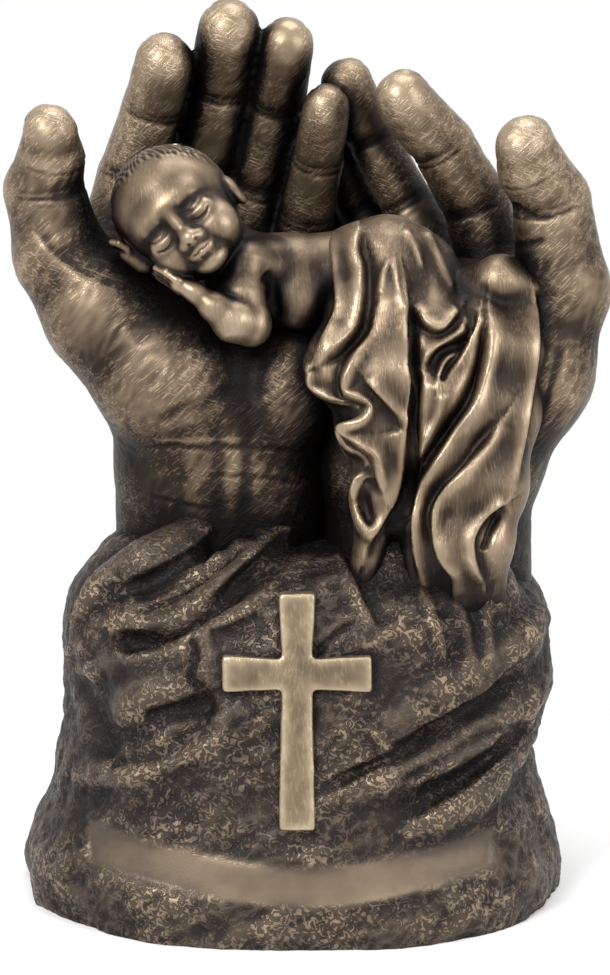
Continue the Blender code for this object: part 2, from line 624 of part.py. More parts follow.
def rock_ledge_edges():
    """The edges of the ledges: gentle side, its width, height, depth of the cleft, and line."""
    edges = (
        (1.0, 6.0, 1.8, 2.6, ((-43, -10), (-36.6, -7.4), (-28.3, -4.3), (-21.5, 0.3), (-15.4, 4.2),
                              (-8, 8))),
        (1.0, 4.0, 1.8, 2.6, ((-45, -20), (-36, -18.6), (-29, -16.3), (-22.2, -11.6), (-15.4, -5.4),
                              (-6.4, 0))),
        (-1.0, 5.0, 1.4, 1.8, ((-47.4, -53.7), (-39.8, -51.3), (-30.7, -47.7), (-24.6, -44.2),
                               (-17, -40.2))),
        (1.0, 5.0, 1.2, 2.0, ((3.4, -51.1), (12.5, -47.2), (20.9, -43.6), (27.7, -39.6), (33.7, -37),
                              (41.2, -33.3), (45.7, -30.6))),
        (-1.0, 5.0, 1.8, 2.0, ((24, -61.5), (31, -58.3), (38.4, -55), (44.5, -51), (51.3, -46.4),
                               (53.5, -41.6))),
        (-1.0, 4.0, 1.0, 1.2, ((3.4, -56), (12.5, -50.5), (20, -46.5))),
    )
    return [
        Stroke(below_rock_top(line), width, height, -12.0, side, LEDGE_STEEP, valley)
        for side, width, height, valley, line in edges
    ]


def rock_clefts():
    """The clefts of the rock: width, depth and line."""
    clefts = (
        (2.4, 2.6, ((-42, -16), (-30.6, -12.1), (-24.5, -7.4), (-19.2, -3.2), (-12.4, 1.1))),
        (2.0, 2.2, ((-45, -23.3), (-39.7, -22.5), (-32, -19.8), (-27.6, -16.3), (-20, -10.8))),
        (1.4, 1.6, ((-26.8, -19.6), (-25.3, -23.5), (-25.7, -29), (-23, -31.4))),
        (2.2, 2.6, ((-37.5, -39), (-32.2, -37.3), (-26, -35.3), (-20, -33))),
        (2.0, 1.6, ((-31, -43.2), (-26, -39.3), (-21.6, -37))),
        (3.0, 1.8, ((-55.6, -34.8), (-51.4, -38.4), (-48.4, -43.2), (-46, -48.8), (-42.3, -54))),
        (2.0, 2.2, ((8, -4.3), (12.6, -11.3), (17.2, -19.2))),
    )
    return [Stroke(below_rock_top(line), width, -depth, -12.0) for width, depth, line in clefts]


def palm_creases():
    """The creases of the wrist and of the ball of the thumb."""
    lines = (
        ((-38, 20), (-24, 20.8), (-10, 20), (2, 17)),
        ((-24, 14), (-12, 13.4), (0, 10.5)),
        ((-36, 27), (-26, 31), (-14, 34)),
        ((-11, 52), (-11.5, 40), (-13, 26)),
    )
    return [Stroke(below_rock_top(line), 0.9, -0.6) for line in lines]


def baby_folds():
    """The hollow of the armpit and the fold of the waist: width, depth and line."""
    folds = (
        (1.5, 1.8, ((-10.6, 60), (-8.8, 56.5), (-7.8, 52), (-6.6, 48.6))),
        (1.8, 0.8, ((1.0, 60), (2.6, 54), (3.0, 49))),
    )
    return [Stroke(below_rock_top(line), width, -depth) for width, depth, line in folds]


def points_and_normals(mesh):
    """The vertices of a mesh and their normals, as arrays."""
    count = len(mesh.vertices)
    points, normals = np.empty(count * 3, np.float32), np.empty(count * 3, np.float32)
    mesh.vertices.foreach_get("co", points)
    mesh.vertex_normals.foreach_get("vector", normals)
    return points.reshape(-1, 3).astype(float), normals.reshape(-1, 3).astype(float)


def move(mesh, points):
    """Gives a mesh's vertices new places."""
    mesh.vertices.foreach_set("co", points.astype(np.float32).ravel())
    mesh.update()


def relax(mesh, share):
    """Moves each vertex part of the way to the middle of its neighbours."""
    points, _ = points_and_normals(mesh)
    ends = np.empty(len(mesh.edges) * 2, np.int32)
    mesh.edges.foreach_get("vertices", ends)
    here, there = np.concatenate((ends.reshape(-1, 2), ends.reshape(-1, 2)[:, ::-1])).T
    neighbours = np.bincount(here, minlength=len(points))[:, None]
    middles = np.stack([np.bincount(here, points[there, axis], len(points)) for axis in range(3)], 1)
    move(mesh, points + (middles / neighbours - points) * share)


def settle(mesh, form, rounds):
    """Draws a mesh's surface onto a form's, and keeps its vertices evenly spread."""
    for _ in range(rounds):
        relax(mesh, 0.5)
        points, normals = points_and_normals(mesh)
        gap = np.clip(form.distance(points), -VOXEL, VOXEL)
        move(mesh, points - normals * gap[:, None] * 0.85)


def bake(body):
    """Makes an object's modifiers part of its mesh."""
    bpy.context.view_layer.update()
    graph = bpy.context.evaluated_depsgraph_get()
    made = bpy.data.meshes.new_from_object(body.evaluated_get(graph))
    body.modifiers.clear()
    body.data = made


def wrap(body):
    """Gives an object one even closed skin and removes every loose shell inside it."""
    remesh = body.modifiers.new("skin", "REMESH")
    remesh.mode = "VOXEL"
    remesh.voxel_size = VOXEL
    bake(body)
    keep_largest_shell(body.data)


def skin_over(form, name):
    """One closed skin round all of a form's pieces, as an object."""
    shape = bmesh.new()
    form.add_to(shape)
    bmesh.ops.recalc_face_normals(shape, faces=shape.faces)
    rough = bpy.data.meshes.new(name)
    shape.to_mesh(rough)
    shape.free()
    body = bpy.data.objects.new(name, rough)
    bpy.context.scene.collection.objects.link(body)
    wrap(body)
    settle(body.data, form, 4)
    wrap(body)
    settle(body.data, form, 1)
    return body


def shell_of(vert):
    """All the vertices joined to one by edges."""
    shell, waiting = {vert}, [vert]
    while waiting:
        here = waiting.pop()
        for edge in here.link_edges:
            other = edge.other_vert(here)
            if other not in shell:
                shell.add(other)
                waiting.append(other)
    return shell


def keep_largest_shell(mesh):
    """Removes every loose shell but the largest, such as the wall of a sealed hollow."""
    shape = bmesh.new()
    shape.from_mesh(mesh)
    left_over, shells = set(shape.verts), []
    while left_over:
        shells.append(shell_of(next(iter(left_over))))
        left_over -= shells[-1]
    largest = max(shells, key=len)
    bmesh.ops.delete(shape, geom=[vert for vert in shape.verts if vert not in largest], context="VERTS")
    shape.to_mesh(mesh)
    shape.free()


def lighten(body, fine):
    """Lowers the number of triangles, the least where the surface turns most and near a fine form."""
    points, _ = points_and_normals(body.data)
    near = fine.distance(points) < FINE_REACH
    group = body.vertex_groups.new(name="collapse")
    group.add(np.flatnonzero(~near).tolist(), 1.0, "REPLACE")
    group.add(np.flatnonzero(near).tolist(), FINE_COLLAPSE, "REPLACE")
    body.data.calc_loop_triangles()
    fewer = body.modifiers.new("lighten", "DECIMATE")
    fewer.vertex_group = group.name
    fewer.ratio = min(1.0, TRIANGLES / len(body.data.loop_triangles))
    bake(body)


def stand_flat(body):
    """Cuts the rock off level at the floor."""
    shape = bmesh.new()
    shape.from_mesh(body.data)
    cut = bmesh.ops.bisect_plane(shape, geom=[*shape.verts, *shape.edges, *shape.faces], dist=1e-4,
                                 plane_co=(0, 0, 0), plane_no=(0, 0, -1), clear_outer=True)
    rim = [item for item in cut["geom_cut"] if isinstance(item, bmesh.types.BMEdge)]
    bmesh.ops.holes_fill(shape, edges=rim)
    bmesh.ops.recalc_face_normals(shape, faces=shape.faces)
    shape.to_mesh(body.data)
    shape.free()


def cross_outline():
    """The corners of the cross from the middle of its crossing, with its four ends a little wider."""
    half, wide, side = CROSS_BAR / 2, CROSS_BAR / 2 + CROSS_FLARE, CROSS_WIDTH / 2
    up, down = CROSS_HEIGHT * (1 - CROSS_ARMS_AT), CROSS_HEIGHT * CROSS_ARMS_AT
    right = ((wide, up), (half, half), (side, wide), (side, -wide), (half, -half), (wide, -down))
    return (*right, *((-x, z) for x, z in reversed(right)))


def cross():
    """The cross: its outline pushed back into the rock and softly bevelled in front."""
    shape = bmesh.new()
    face = shape.faces.new([shape.verts.new((x, 0.0, z)) for x, z in cross_outline()])
    made = bmesh.ops.extrude_face_region(shape, geom=[face])["geom"]
    back = [item for item in made if isinstance(item, bmesh.types.BMVert)]
    bmesh.ops.translate(shape, verts=back, vec=(0.0, CROSS_RELIEF + CROSS_ROOT, 0.0))
    bmesh.ops.recalc_face_normals(shape, faces=shape.faces)
    rim = [edge for edge in shape.edges if all(vert.co.y < CROSS_RELIEF / 2 for vert in edge.verts)]
    bmesh.ops.bevel(shape, geom=rim, offset=CROSS_EDGE, segments=2, profile=0.5, affect="EDGES")
    middle = CROSS_FOOT + CROSS_HEIGHT * CROSS_ARMS_AT
    front = face_of(Rock(), np.array([CROSS_SIDE]), np.array([middle]), 1.0)[0] - CROSS_RELIEF
    place = Matrix.Translation((CROSS_SIDE, front, middle)) @ Matrix.Rotation(-CROSS_LEAN, 4, "X")
    bmesh.ops.transform(shape, matrix=place, verts=shape.verts)
    mesh = bpy.data.meshes.new("cross")
    shape.to_mesh(mesh)
    shape.free()
    made = bpy.data.objects.new("cross", mesh)
    bpy.context.scene.collection.objects.link(made)
    return made


def weld_on(body, other):
    """Joins another solid to the body."""
    join = body.modifiers.new("join", "BOOLEAN")
    join.operation = "UNION"
    join.solver = "EXACT"
    join.object = other
    bake(body)
    bpy.data.objects.remove(other)


def centre_on_floor(body):
    """Puts the middle of the body's outline over the origin and turns millimetres to metres."""
    points, _ = points_and_normals(body.data)
    middle = (points.min(0) + points.max(0)) / 2
    body.data.transform(Matrix.Scale(MM, 4) @ Matrix.Translation((-middle[0], -middle[1], 0.0)))


def bronze():
    """Cold-cast bronze: dark in the hollows and warm where it is rubbed."""
    material = bpy.data.materials.new("cold_cast_bronze")
    material.use_nodes = True
    shader = material.node_tree.nodes["Principled BSDF"]
    shader.inputs["Base Color"].default_value = (0.14, 0.095, 0.06, 1.0)
    shader.inputs["Metallic"].default_value = 0.85
    shader.inputs["Roughness"].default_value = 0.42
    return material


def sculpt():
    """The rock, hands, baby and cloth as one skin, with every stroke drawn on it."""
    hands = Lump((rock_with_ledges(), left_hand(), right_hand()), ROCK_BLEND)
    whole = Lump((hands, baby(), cloth()), CONTACT_BLEND)
    body = skin_over(whole, "statue")
    points, normals = points_and_normals(body.data)
    lifted = np.zeros(len(points))
    for stroke in (*cloth_folds(), *cloth_valleys(), *rock_ledge_edges(), *rock_clefts(), *palm_creases(),
                   *baby_folds()):
        lifted += stroke.lift(points, normals)
    for digit in DIGITS:
        lifted -= digit.crease(points, normals)
    move(body.data, points + normals * lifted[:, None])
    relax(body.data, 0.2)
    return body


def main():
    """Builds the statue."""
    for old in list(bpy.data.objects):
        bpy.data.objects.remove(old)
    body = sculpt()
    lighten(body, Lump((head(), cloth_ground()), CONTACT_BLEND))
    stand_flat(body)
    weld_on(body, cross())
    keep_largest_shell(body.data)
    centre_on_floor(body)
    body.data.materials.clear()
    body.data.materials.append(bronze())
    body.data.shade_smooth()
    body.data.set_sharp_from_angle(angle=math.radians(50.0))


main()
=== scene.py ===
"""Dresses the statue of a baby asleep in two cupped hands that rise from a rock with a cross.

The solid gives the frame. Here each of its masses is worked again as a finer skin: the rock, the
two hands, the baby and the cloth, then the cross. A skin starts from rough balls and rings, is
drawn onto a form made of bones and ellipsoids, and is then worked with strokes, folds and grain.
Lengths are in millimetres until a piece is finished, and places on the hands, the baby and the
cloth are given from the middle of the rock's top. X is to the right, Y goes away from the viewer
and Z is up.
"""

import logging
import math
from dataclasses import dataclass, field
from enum import Enum
from functools import cached_property
from typing import Any, Protocol, Sequence

import bmesh
import bpy
import numpy as np
from mathutils import Euler, Matrix, Vector, noise


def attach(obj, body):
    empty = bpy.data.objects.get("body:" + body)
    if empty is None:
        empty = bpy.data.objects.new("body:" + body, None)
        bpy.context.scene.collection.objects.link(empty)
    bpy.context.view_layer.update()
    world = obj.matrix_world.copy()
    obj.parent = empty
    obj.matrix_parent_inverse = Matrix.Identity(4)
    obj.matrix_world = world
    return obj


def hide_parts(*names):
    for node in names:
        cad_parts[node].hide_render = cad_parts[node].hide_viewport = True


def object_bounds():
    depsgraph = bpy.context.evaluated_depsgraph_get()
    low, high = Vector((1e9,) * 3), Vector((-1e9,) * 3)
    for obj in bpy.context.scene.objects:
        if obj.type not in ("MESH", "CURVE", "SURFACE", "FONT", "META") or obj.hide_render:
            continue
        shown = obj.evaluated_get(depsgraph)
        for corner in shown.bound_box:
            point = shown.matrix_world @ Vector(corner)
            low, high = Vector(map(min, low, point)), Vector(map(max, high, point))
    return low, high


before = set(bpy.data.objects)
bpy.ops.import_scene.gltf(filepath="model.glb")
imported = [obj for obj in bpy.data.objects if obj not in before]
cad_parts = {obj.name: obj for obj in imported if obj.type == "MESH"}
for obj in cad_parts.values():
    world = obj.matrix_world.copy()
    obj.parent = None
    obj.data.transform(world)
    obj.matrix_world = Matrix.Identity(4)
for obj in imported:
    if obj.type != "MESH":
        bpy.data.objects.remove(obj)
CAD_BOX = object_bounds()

Array = np.ndarray
Point = tuple[float, float, float]
Spot = tuple[float, float]

MM = 0.001
ROCK_TOP = 90.0
FARTHEST = 12.0
EDGE_FADE = 6.0
WHITE = (1.0, 1.0, 1.0, 1.0)
# How far from its skin a place looks for what shuts it in, for its dark wash and painted shade: straight
# out, and aside
NEAR_REACH = 2.5
FAR_REACH = 9.0
ASIDE_REACH = 11.0
ASIDE_OPEN = 7.0
# Rounds of easing that relief is measured against, with the share that each one has in it
RELIEF_SHARES = {2: 0.20, 9: 0.35, 30: 0.35, 90: 0.25}
# Sizes of the finish's stains, of the patches with marks and of the powder
BLOTCH = 9.0
PATCH = 14.0
POWDER = 0.35

log = logging.getLogger("statue")


def smooth_union(first: Array, second: Array, blend: float) -> Array:
    """The nearer of two distances, rounded where they are within blend of each other."""
    near = np.maximum(blend - np.abs(first - second), 0.0) / blend
    return np.minimum(first, second) - near * near * blend * 0.25


def curve_through(points: Sequence[Sequence[float]], steps: int = 5) -> Array:
    """Follows a Catmull-Rom curve.

    Args:
        points: The points that the curve goes through.
        steps: How many pieces each span is cut into.

    Returns:
        The points along the curve, one in a row.
    """
    given = np.array(points, float)
    padded = np.vstack((2 * given[0] - given[1], given, 2 * given[-1] - given[-2]))
    found = []
    for index in range(len(given) - 1):
        a, b, c, d = padded[index:index + 4]
        for t in np.arange(steps) / steps:
            found.append(0.5 * (2 * b + (c - a) * t + (2 * a - 5 * b + 4 * c - d) * t ** 2
                                + (3 * b - a - 3 * c + d) * t ** 3))
    found.append(given[-1])
    return np.array(found)


def fade(values: Array, start: float, end: float) -> Array:
    """Goes softly from 0 at start to 1 at end."""
    share = np.clip((values - start) / (end - start), 0.0, 1.0)
    return share * share * (3.0 - 2.0 * share)


class Form(Protocol):
    """Something with a surface that a skin can be drawn onto."""

    box: tuple[Array, Array]

    def distance(self, points: Array) -> Array:
        """Distance of each point from the surface, below zero inside."""

    def add_to(self, shape: bmesh.types.BMesh) -> None:
        """Adds a rough copy to a bmesh."""


@dataclass(frozen=True)
class Bone:
    """A tapered bar with round ends. squeeze flattens it front to back."""

    start: Point
    end: Point
    start_radius: float
    end_radius: float
    squeeze: float = 1.0

    @cached_property
    def box(self) -> tuple[Array, Array]:
        """The corners of a box round the bone.

        Returns:
            The low and the high corner.
        """
        ends = np.array((self.start, self.end))
        radii = np.array((self.start_radius, self.end_radius))[:, None]
        return (ends - radii).min(0), (ends + radii).max(0)

    def distance(self, points: Array) -> Array:
        """Distance of each point from the surface, below zero inside.

        Args:
            points: Places, one in a row.

        Returns:
            The distances in millimetres.
        """
        shape = np.array((1.0, self.squeeze, 1.0))
        start = np.array(self.start) / shape
        along = np.array(self.end) / shape - start
        away = points / shape - start
        share = np.clip(away @ along / (along @ along), 0.0, 1.0)
        radius = self.start_radius + (self.end_radius - self.start_radius) * share
        gap = np.linalg.norm(away - share[:, None] * along, axis=1) - radius
        return gap * min(1.0, self.squeeze)

    def add_to(self, shape: bmesh.types.BMesh) -> None:
        """Adds a rough copy to a bmesh: a ball pulled apart at its middle.

        Args:
            shape: The bmesh that is added to.
        """
        stretch = Matrix.Diagonal((1.0, self.squeeze, 1.0))
        start, end = (stretch.inverted() @ Vector(point) for point in (self.start, self.end))
        turn = (end - start).to_track_quat("Z", "Y")
        for vert in bmesh.ops.create_icosphere(shape, subdivisions=3, radius=1.0)["verts"]:
            if vert.co.z > 0.0:
                vert.co = stretch @ (end + turn @ vert.co * self.end_radius)
            else:
                vert.co = stretch @ (start + turn @ vert.co * self.start_radius)


@dataclass(frozen=True)
class Ball:
    """An ellipsoid, turned by Euler angles."""

    centre: Point
    radii: Point
    turn: Point = (0.0, 0.0, 0.0)

    @cached_property
    def box(self) -> tuple[Array, Array]:
        """The corners of a box round the ball."""
        centre, reach = np.array(self.centre), max(self.radii)
        return centre - reach, centre + reach

    def distance(self, points: Array) -> Array:
        """Distance of each point from the surface, below zero inside.

        Args:
            points: Places, one in a row.

        Returns:
            The distances in millimetres.
        """
        local = (points - np.array(self.centre)) @ np.array(Euler(self.turn).to_matrix())
        radii = np.array(self.radii)
        near = np.linalg.norm(local / radii, axis=1)
        slope = np.linalg.norm(local / radii ** 2, axis=1) + 1e-9
        return near * (near - 1.0) / slope

    def add_to(self, shape: bmesh.types.BMesh) -> None:
        """Adds a rough copy to a bmesh.

        Args:
            shape: The bmesh that is added to.
        """
        made = bmesh.ops.create_icosphere(shape, subdivisions=3, radius=1.0)["verts"]
        place = Matrix.LocRotScale(self.centre, Euler(self.turn), self.radii)
        bmesh.ops.transform(shape, matrix=place, verts=made)


@dataclass(frozen=True)
class Lump:
    """Forms that run into each other over blend millimetres."""

    forms: tuple[Form, ...]
    blend: float

    @cached_property
    def box(self) -> tuple[Array, Array]:
        """The corners of a box round every form."""
        boxes = [form.box for form in self.forms]
        return np.min([low for low, _ in boxes], 0), np.max([high for _, high in boxes], 0)

    def distance(self, points: Array) -> Array:
        """Distance of each point from the surface, below zero inside, and FARTHEST where it is more.

        Args:
            points: Places, one in a row.

        Returns:
            The distances in millimetres.
        """
        total = np.full(len(points), FARTHEST)
        for form in self.forms:
            low, high = form.box
            outside = np.linalg.norm(np.maximum(np.maximum(low - points, points - high), 0.0), axis=1)
            near = np.flatnonzero(outside < total + self.blend)
            if len(near):
                total[near] = smooth_union(total[near], form.distance(points[near]), self.blend)
        return total

    def add_to(self, shape: bmesh.types.BMesh) -> None:
        """Adds every form to a bmesh."""
        for form in self.forms:
            form.add_to(shape)


@dataclass(frozen=True)
class Hollowed:
    """A form with softly sunk places, such as the sockets of the eyes."""

    form: Form
    hollows: tuple[Form, ...]
    blend: float

    @cached_property
    def box(self) -> tuple[Array, Array]:
        """The corners of a box round the form."""
        return self.form.box

    def distance(self, points: Array) -> Array:
        """Distance of each point from the surface, below zero inside.

        Args:
            points: Places, one in a row.

        Returns:
            The distances in millimetres.
        """
        outside = -self.form.distance(points)
        for hollow in self.hollows:
            outside = smooth_union(outside, hollow.distance(points), self.blend)
        return -outside

    def add_to(self, shape: bmesh.types.BMesh) -> None:
        """Adds the form to a bmesh. Its hollows come when the skin settles."""
        self.form.add_to(shape)


def from_rock_top(*points: Point) -> tuple[Point, ...]:
    """Points given from the middle of the rock's top, as points from the floor."""
    return tuple((x, y, z + ROCK_TOP) for x, y, z in points)


def limb(points: Sequence[Point], radii: Sequence[float], blend: float, squeeze: float = 1.0) -> Lump:
    """Makes a chain of bones.

    Args:
        points: The chain's joints, from the middle of the rock's top.
        radii: The radius at each joint.
        blend: How far neighbouring bones run into each other.
        squeeze: How flat the chain is, front to back.

    Returns:
        The chain as one form.
    """
    joints = from_rock_top(*points)
    return Lump(tuple(Bone(joints[i], joints[i + 1], radii[i], radii[i + 1], squeeze)
                      for i in range(len(joints) - 1)), blend)


def face_of(form: Form, x: Array, z: Array, inward: float) -> Array:
    """Finds where a form is first met.

    Args:
        form: The form.
        x: Places on X.
        z: Places on Z.
        inward: 1.0 to come from the front, -1.0 to come from behind.

    Returns:
        The Y of each first meeting, or of the nearest approach.
    """
    points = np.stack((x, np.full(len(x), -112.0 * inward), z), axis=1)
    nearest, met = np.full(len(x), np.inf), points[:, 1].copy()
    for _ in range(60):
        gap = form.distance(points)
        closer = gap < nearest - 0.01
        nearest[closer], met[closer] = gap[closer], points[closer, 1]
        points[:, 1] += np.clip(gap, 0.0, 4.0) * 0.9 * inward
    return met


def laid_on(form: Form, line: Sequence[Spot], radius: float, sink: float, inward: float = 1.0) -> Lump:
    """Lays a round cord of bones along a line on a form's face, thinner at its ends.

    Args:
        form: The form that the cord lies on.
        line: Points of X and Z from the middle of the rock's top.
        radius: The cord's greatest radius.
        sink: How much of its radius lies under the face.
        inward: 1.0 for the front, -1.0 for the back.

    Returns:
        The cord.
    """
    path = curve_through([(x, z + ROCK_TOP) for x, z in line], 3)
    depth = face_of(form, path[:, 0], path[:, 1], inward)
    swell = np.clip(np.sin(np.pi * np.linspace(0.12, 0.88, len(path))) * 1.3, 0.0, 1.0) * radius
    joints = [(x, y + inward * sink * size, z) for (x, z), y, size in zip(path, depth, swell)]
    return Lump(tuple(Bone(joints[i], joints[i + 1], swell[i], swell[i + 1])
                      for i in range(len(joints) - 1)), 1.6)


@dataclass(frozen=True)
class Stroke:
    """A mark drawn on the front through points of X and Z.

    Its height is above zero for a ridge and below zero for a groove. A steep width and a valley
    make it the turned edge of a fold: gentle on the left of its way, or on the right where side is
    -1.0, and steep towards the valley on the other.
    """

    line: tuple[Spot, ...]
    width: float
    height: float
    behind: float = 10.0
    side: float = 1.0
    steep: float = 0.0
    valley: float = 0.0

    def lift(self, points: Array, normals: Array) -> Array:
        """Says how far the stroke raises each point along its normal.

        Args:
            points: Places, one in a row.
            normals: The normal at each place.

        Returns:
            The lift at each point in millimetres.
        """
        path = curve_through(self.line)
        flat = points[:, (0, 2)]
        margin = 2.5 * self.width + 6.0 * self.steep
        facing = np.clip((0.3 - normals[:, 1]) / 0.6, 0.0, 1.0)
        shown = facing * np.clip((self.behind - points[:, 1]) / EDGE_FADE, 0.0, 1.0)
        inside = ((flat > path.min(0) - margin) & (flat < path.max(0) + margin)).all(1)
        chosen = np.flatnonzero(inside & (shown > 0.0))
        lifted = np.zeros(len(points))
        nearest = np.full(len(chosen), np.inf)
        leaning, share_along = np.zeros(len(chosen)), np.zeros(len(chosen))
        for index in range(len(path) - 1):
            start, along = path[index], path[index + 1] - path[index]
            away = flat[chosen] - start
            share = np.clip(away @ along / (along @ along), 0.0, 1.0)
            gap = np.linalg.norm(away - share[:, None] * along, axis=1)
            closer = gap < nearest
            nearest[closer] = gap[closer]
            leaning[closer] = (along[0] * away[closer, 1] - along[1] * away[closer, 0]) * self.side
            share_along[closer] = (index + share[closer]) / (len(path) - 1)
        ends = np.clip(np.sin(np.pi * np.clip(share_along, 0.02, 0.98)) * 2.2, 0.0, 1.0)
        profile = self.height * np.exp(-(nearest / self.width) ** 2)
        if self.valley:
            reach = 1.7 * self.steep
            dip = self.valley * nearest / reach * np.exp(1.0 - nearest / reach)
            sharp = self.height * np.exp(-(nearest / self.steep) ** 2) - dip
            profile = np.where(leaning > 0.0, profile, sharp)
        lifted[chosen] = profile * ends * shown[chosen]
        return lifted


def below_rock_top(line: Sequence[Spot]) -> tuple[Spot, ...]:
    """A line given from the middle of the rock's top, as a line from the floor."""
    return tuple((x, z + ROCK_TOP) for x, z in line)


def ridge(*line: Spot, width: float = 1.0, height: float = 0.9, behind: float = 10.0) -> Stroke:
    """A round ridge along a line from the rock's top, or a groove where height is below zero."""
    return Stroke(below_rock_top(line), width, height, behind)


def fold(*line: Spot, side: float, width: float = 3.0, height: float = 1.2, steep: float = 0.7,
         valley: float = 1.6, behind: float = 10.0) -> Stroke:
    """The turned edge of a fold or a ledge along a line from the rock's top."""
    return Stroke(below_rock_top(line), width, height, behind, side, steep, valley)


@dataclass(frozen=True)
class Grain:
    """A pattern of soft noise worked into a skin.

    Attributes:
        size: Millimetres from one lump to the next.
        depth: Greatest lift in millimetres.
        octaves: How many finer patterns lie on the first.
        slant: How far the pattern leans on the front, in degrees.
        stretch: How much longer it is along the slant.
        crisp: True for thin crests between lumps, False for round lumps.
    """

    size: float
    depth: float
    octaves: int = 1
    slant: float = 0.0
    stretch: float = 1.0
    crisp: bool = False

    def lift(self, points: Array) -> Array:
        """Says how far the grain raises each point.

        Args:
            points: Places, one in a row.

        Returns:
            The lift at each point in millimetres.
        """
        turn = math.radians(self.slant)
        along = points[:, 0] * math.cos(turn) + points[:, 2] * math.sin(turn)
        across = points[:, 2] * math.cos(turn) - points[:, 0] * math.sin(turn)
        placed = np.stack((along / self.stretch, points[:, 1], across), 1) / self.size
        lifted = np.zeros(len(points))
        for octave in range(self.octaves):
            scale = 2.0 ** octave
            values = np.array([noise.noise(place) for place in (placed * scale + 7.3 * octave).tolist()])
            if self.crisp:
                values = 0.6 - 2.6 * np.abs(values)
            lifted += values / scale
        return lifted * self.depth


def points_and_normals(mesh: bpy.types.Mesh) -> tuple[Array, Array]:
    """The vertices of a mesh and their normals, as arrays.

    Args:
        mesh: The mesh.

    Returns:
        The places and the normals, one in a row.
    """
    count = len(mesh.vertices)
    points, normals = np.empty(count * 3, np.float32), np.empty(count * 3, np.float32)
    mesh.vertices.foreach_get("co", points)
    mesh.vertex_normals.foreach_get("vector", normals)
    return points.reshape(-1, 3).astype(float), normals.reshape(-1, 3).astype(float)


def move(mesh: bpy.types.Mesh, points: Array) -> None:
    """Gives a mesh's vertices new places."""
    mesh.vertices.foreach_set("co", points.astype(np.float32).ravel())
    mesh.update()


def store(mesh: bpy.types.Mesh, name: str, values: Array) -> None:
    """Stores one number for each vertex of a mesh under a name."""
    layer = mesh.attributes.get(name) or mesh.attributes.new(name, "FLOAT", "POINT")
    layer.data.foreach_set("value", values.astype(np.float32))


class Neighbours:
    """Which vertices of a mesh are joined by an edge."""

    def __init__(self, mesh: bpy.types.Mesh) -> None:
        """Reads the edges of a mesh.

        Args:
            mesh: The mesh.
        """
        ends = np.empty(len(mesh.edges) * 2, np.int32)
        mesh.edges.foreach_get("vertices", ends)
        pairs = ends.reshape(-1, 2)
        self.here, self.there = np.concatenate((pairs, pairs[:, ::-1])).T
        self.count = np.maximum(np.bincount(self.here, minlength=len(mesh.vertices)), 1)

    def mean(self, values: Array) -> Array:
        """The middle of each vertex's neighbours, for rows of numbers."""
        total = [np.bincount(self.here, column[self.there], len(values)) for column in values.T]
        return np.stack(total, 1) / self.count[:, None]


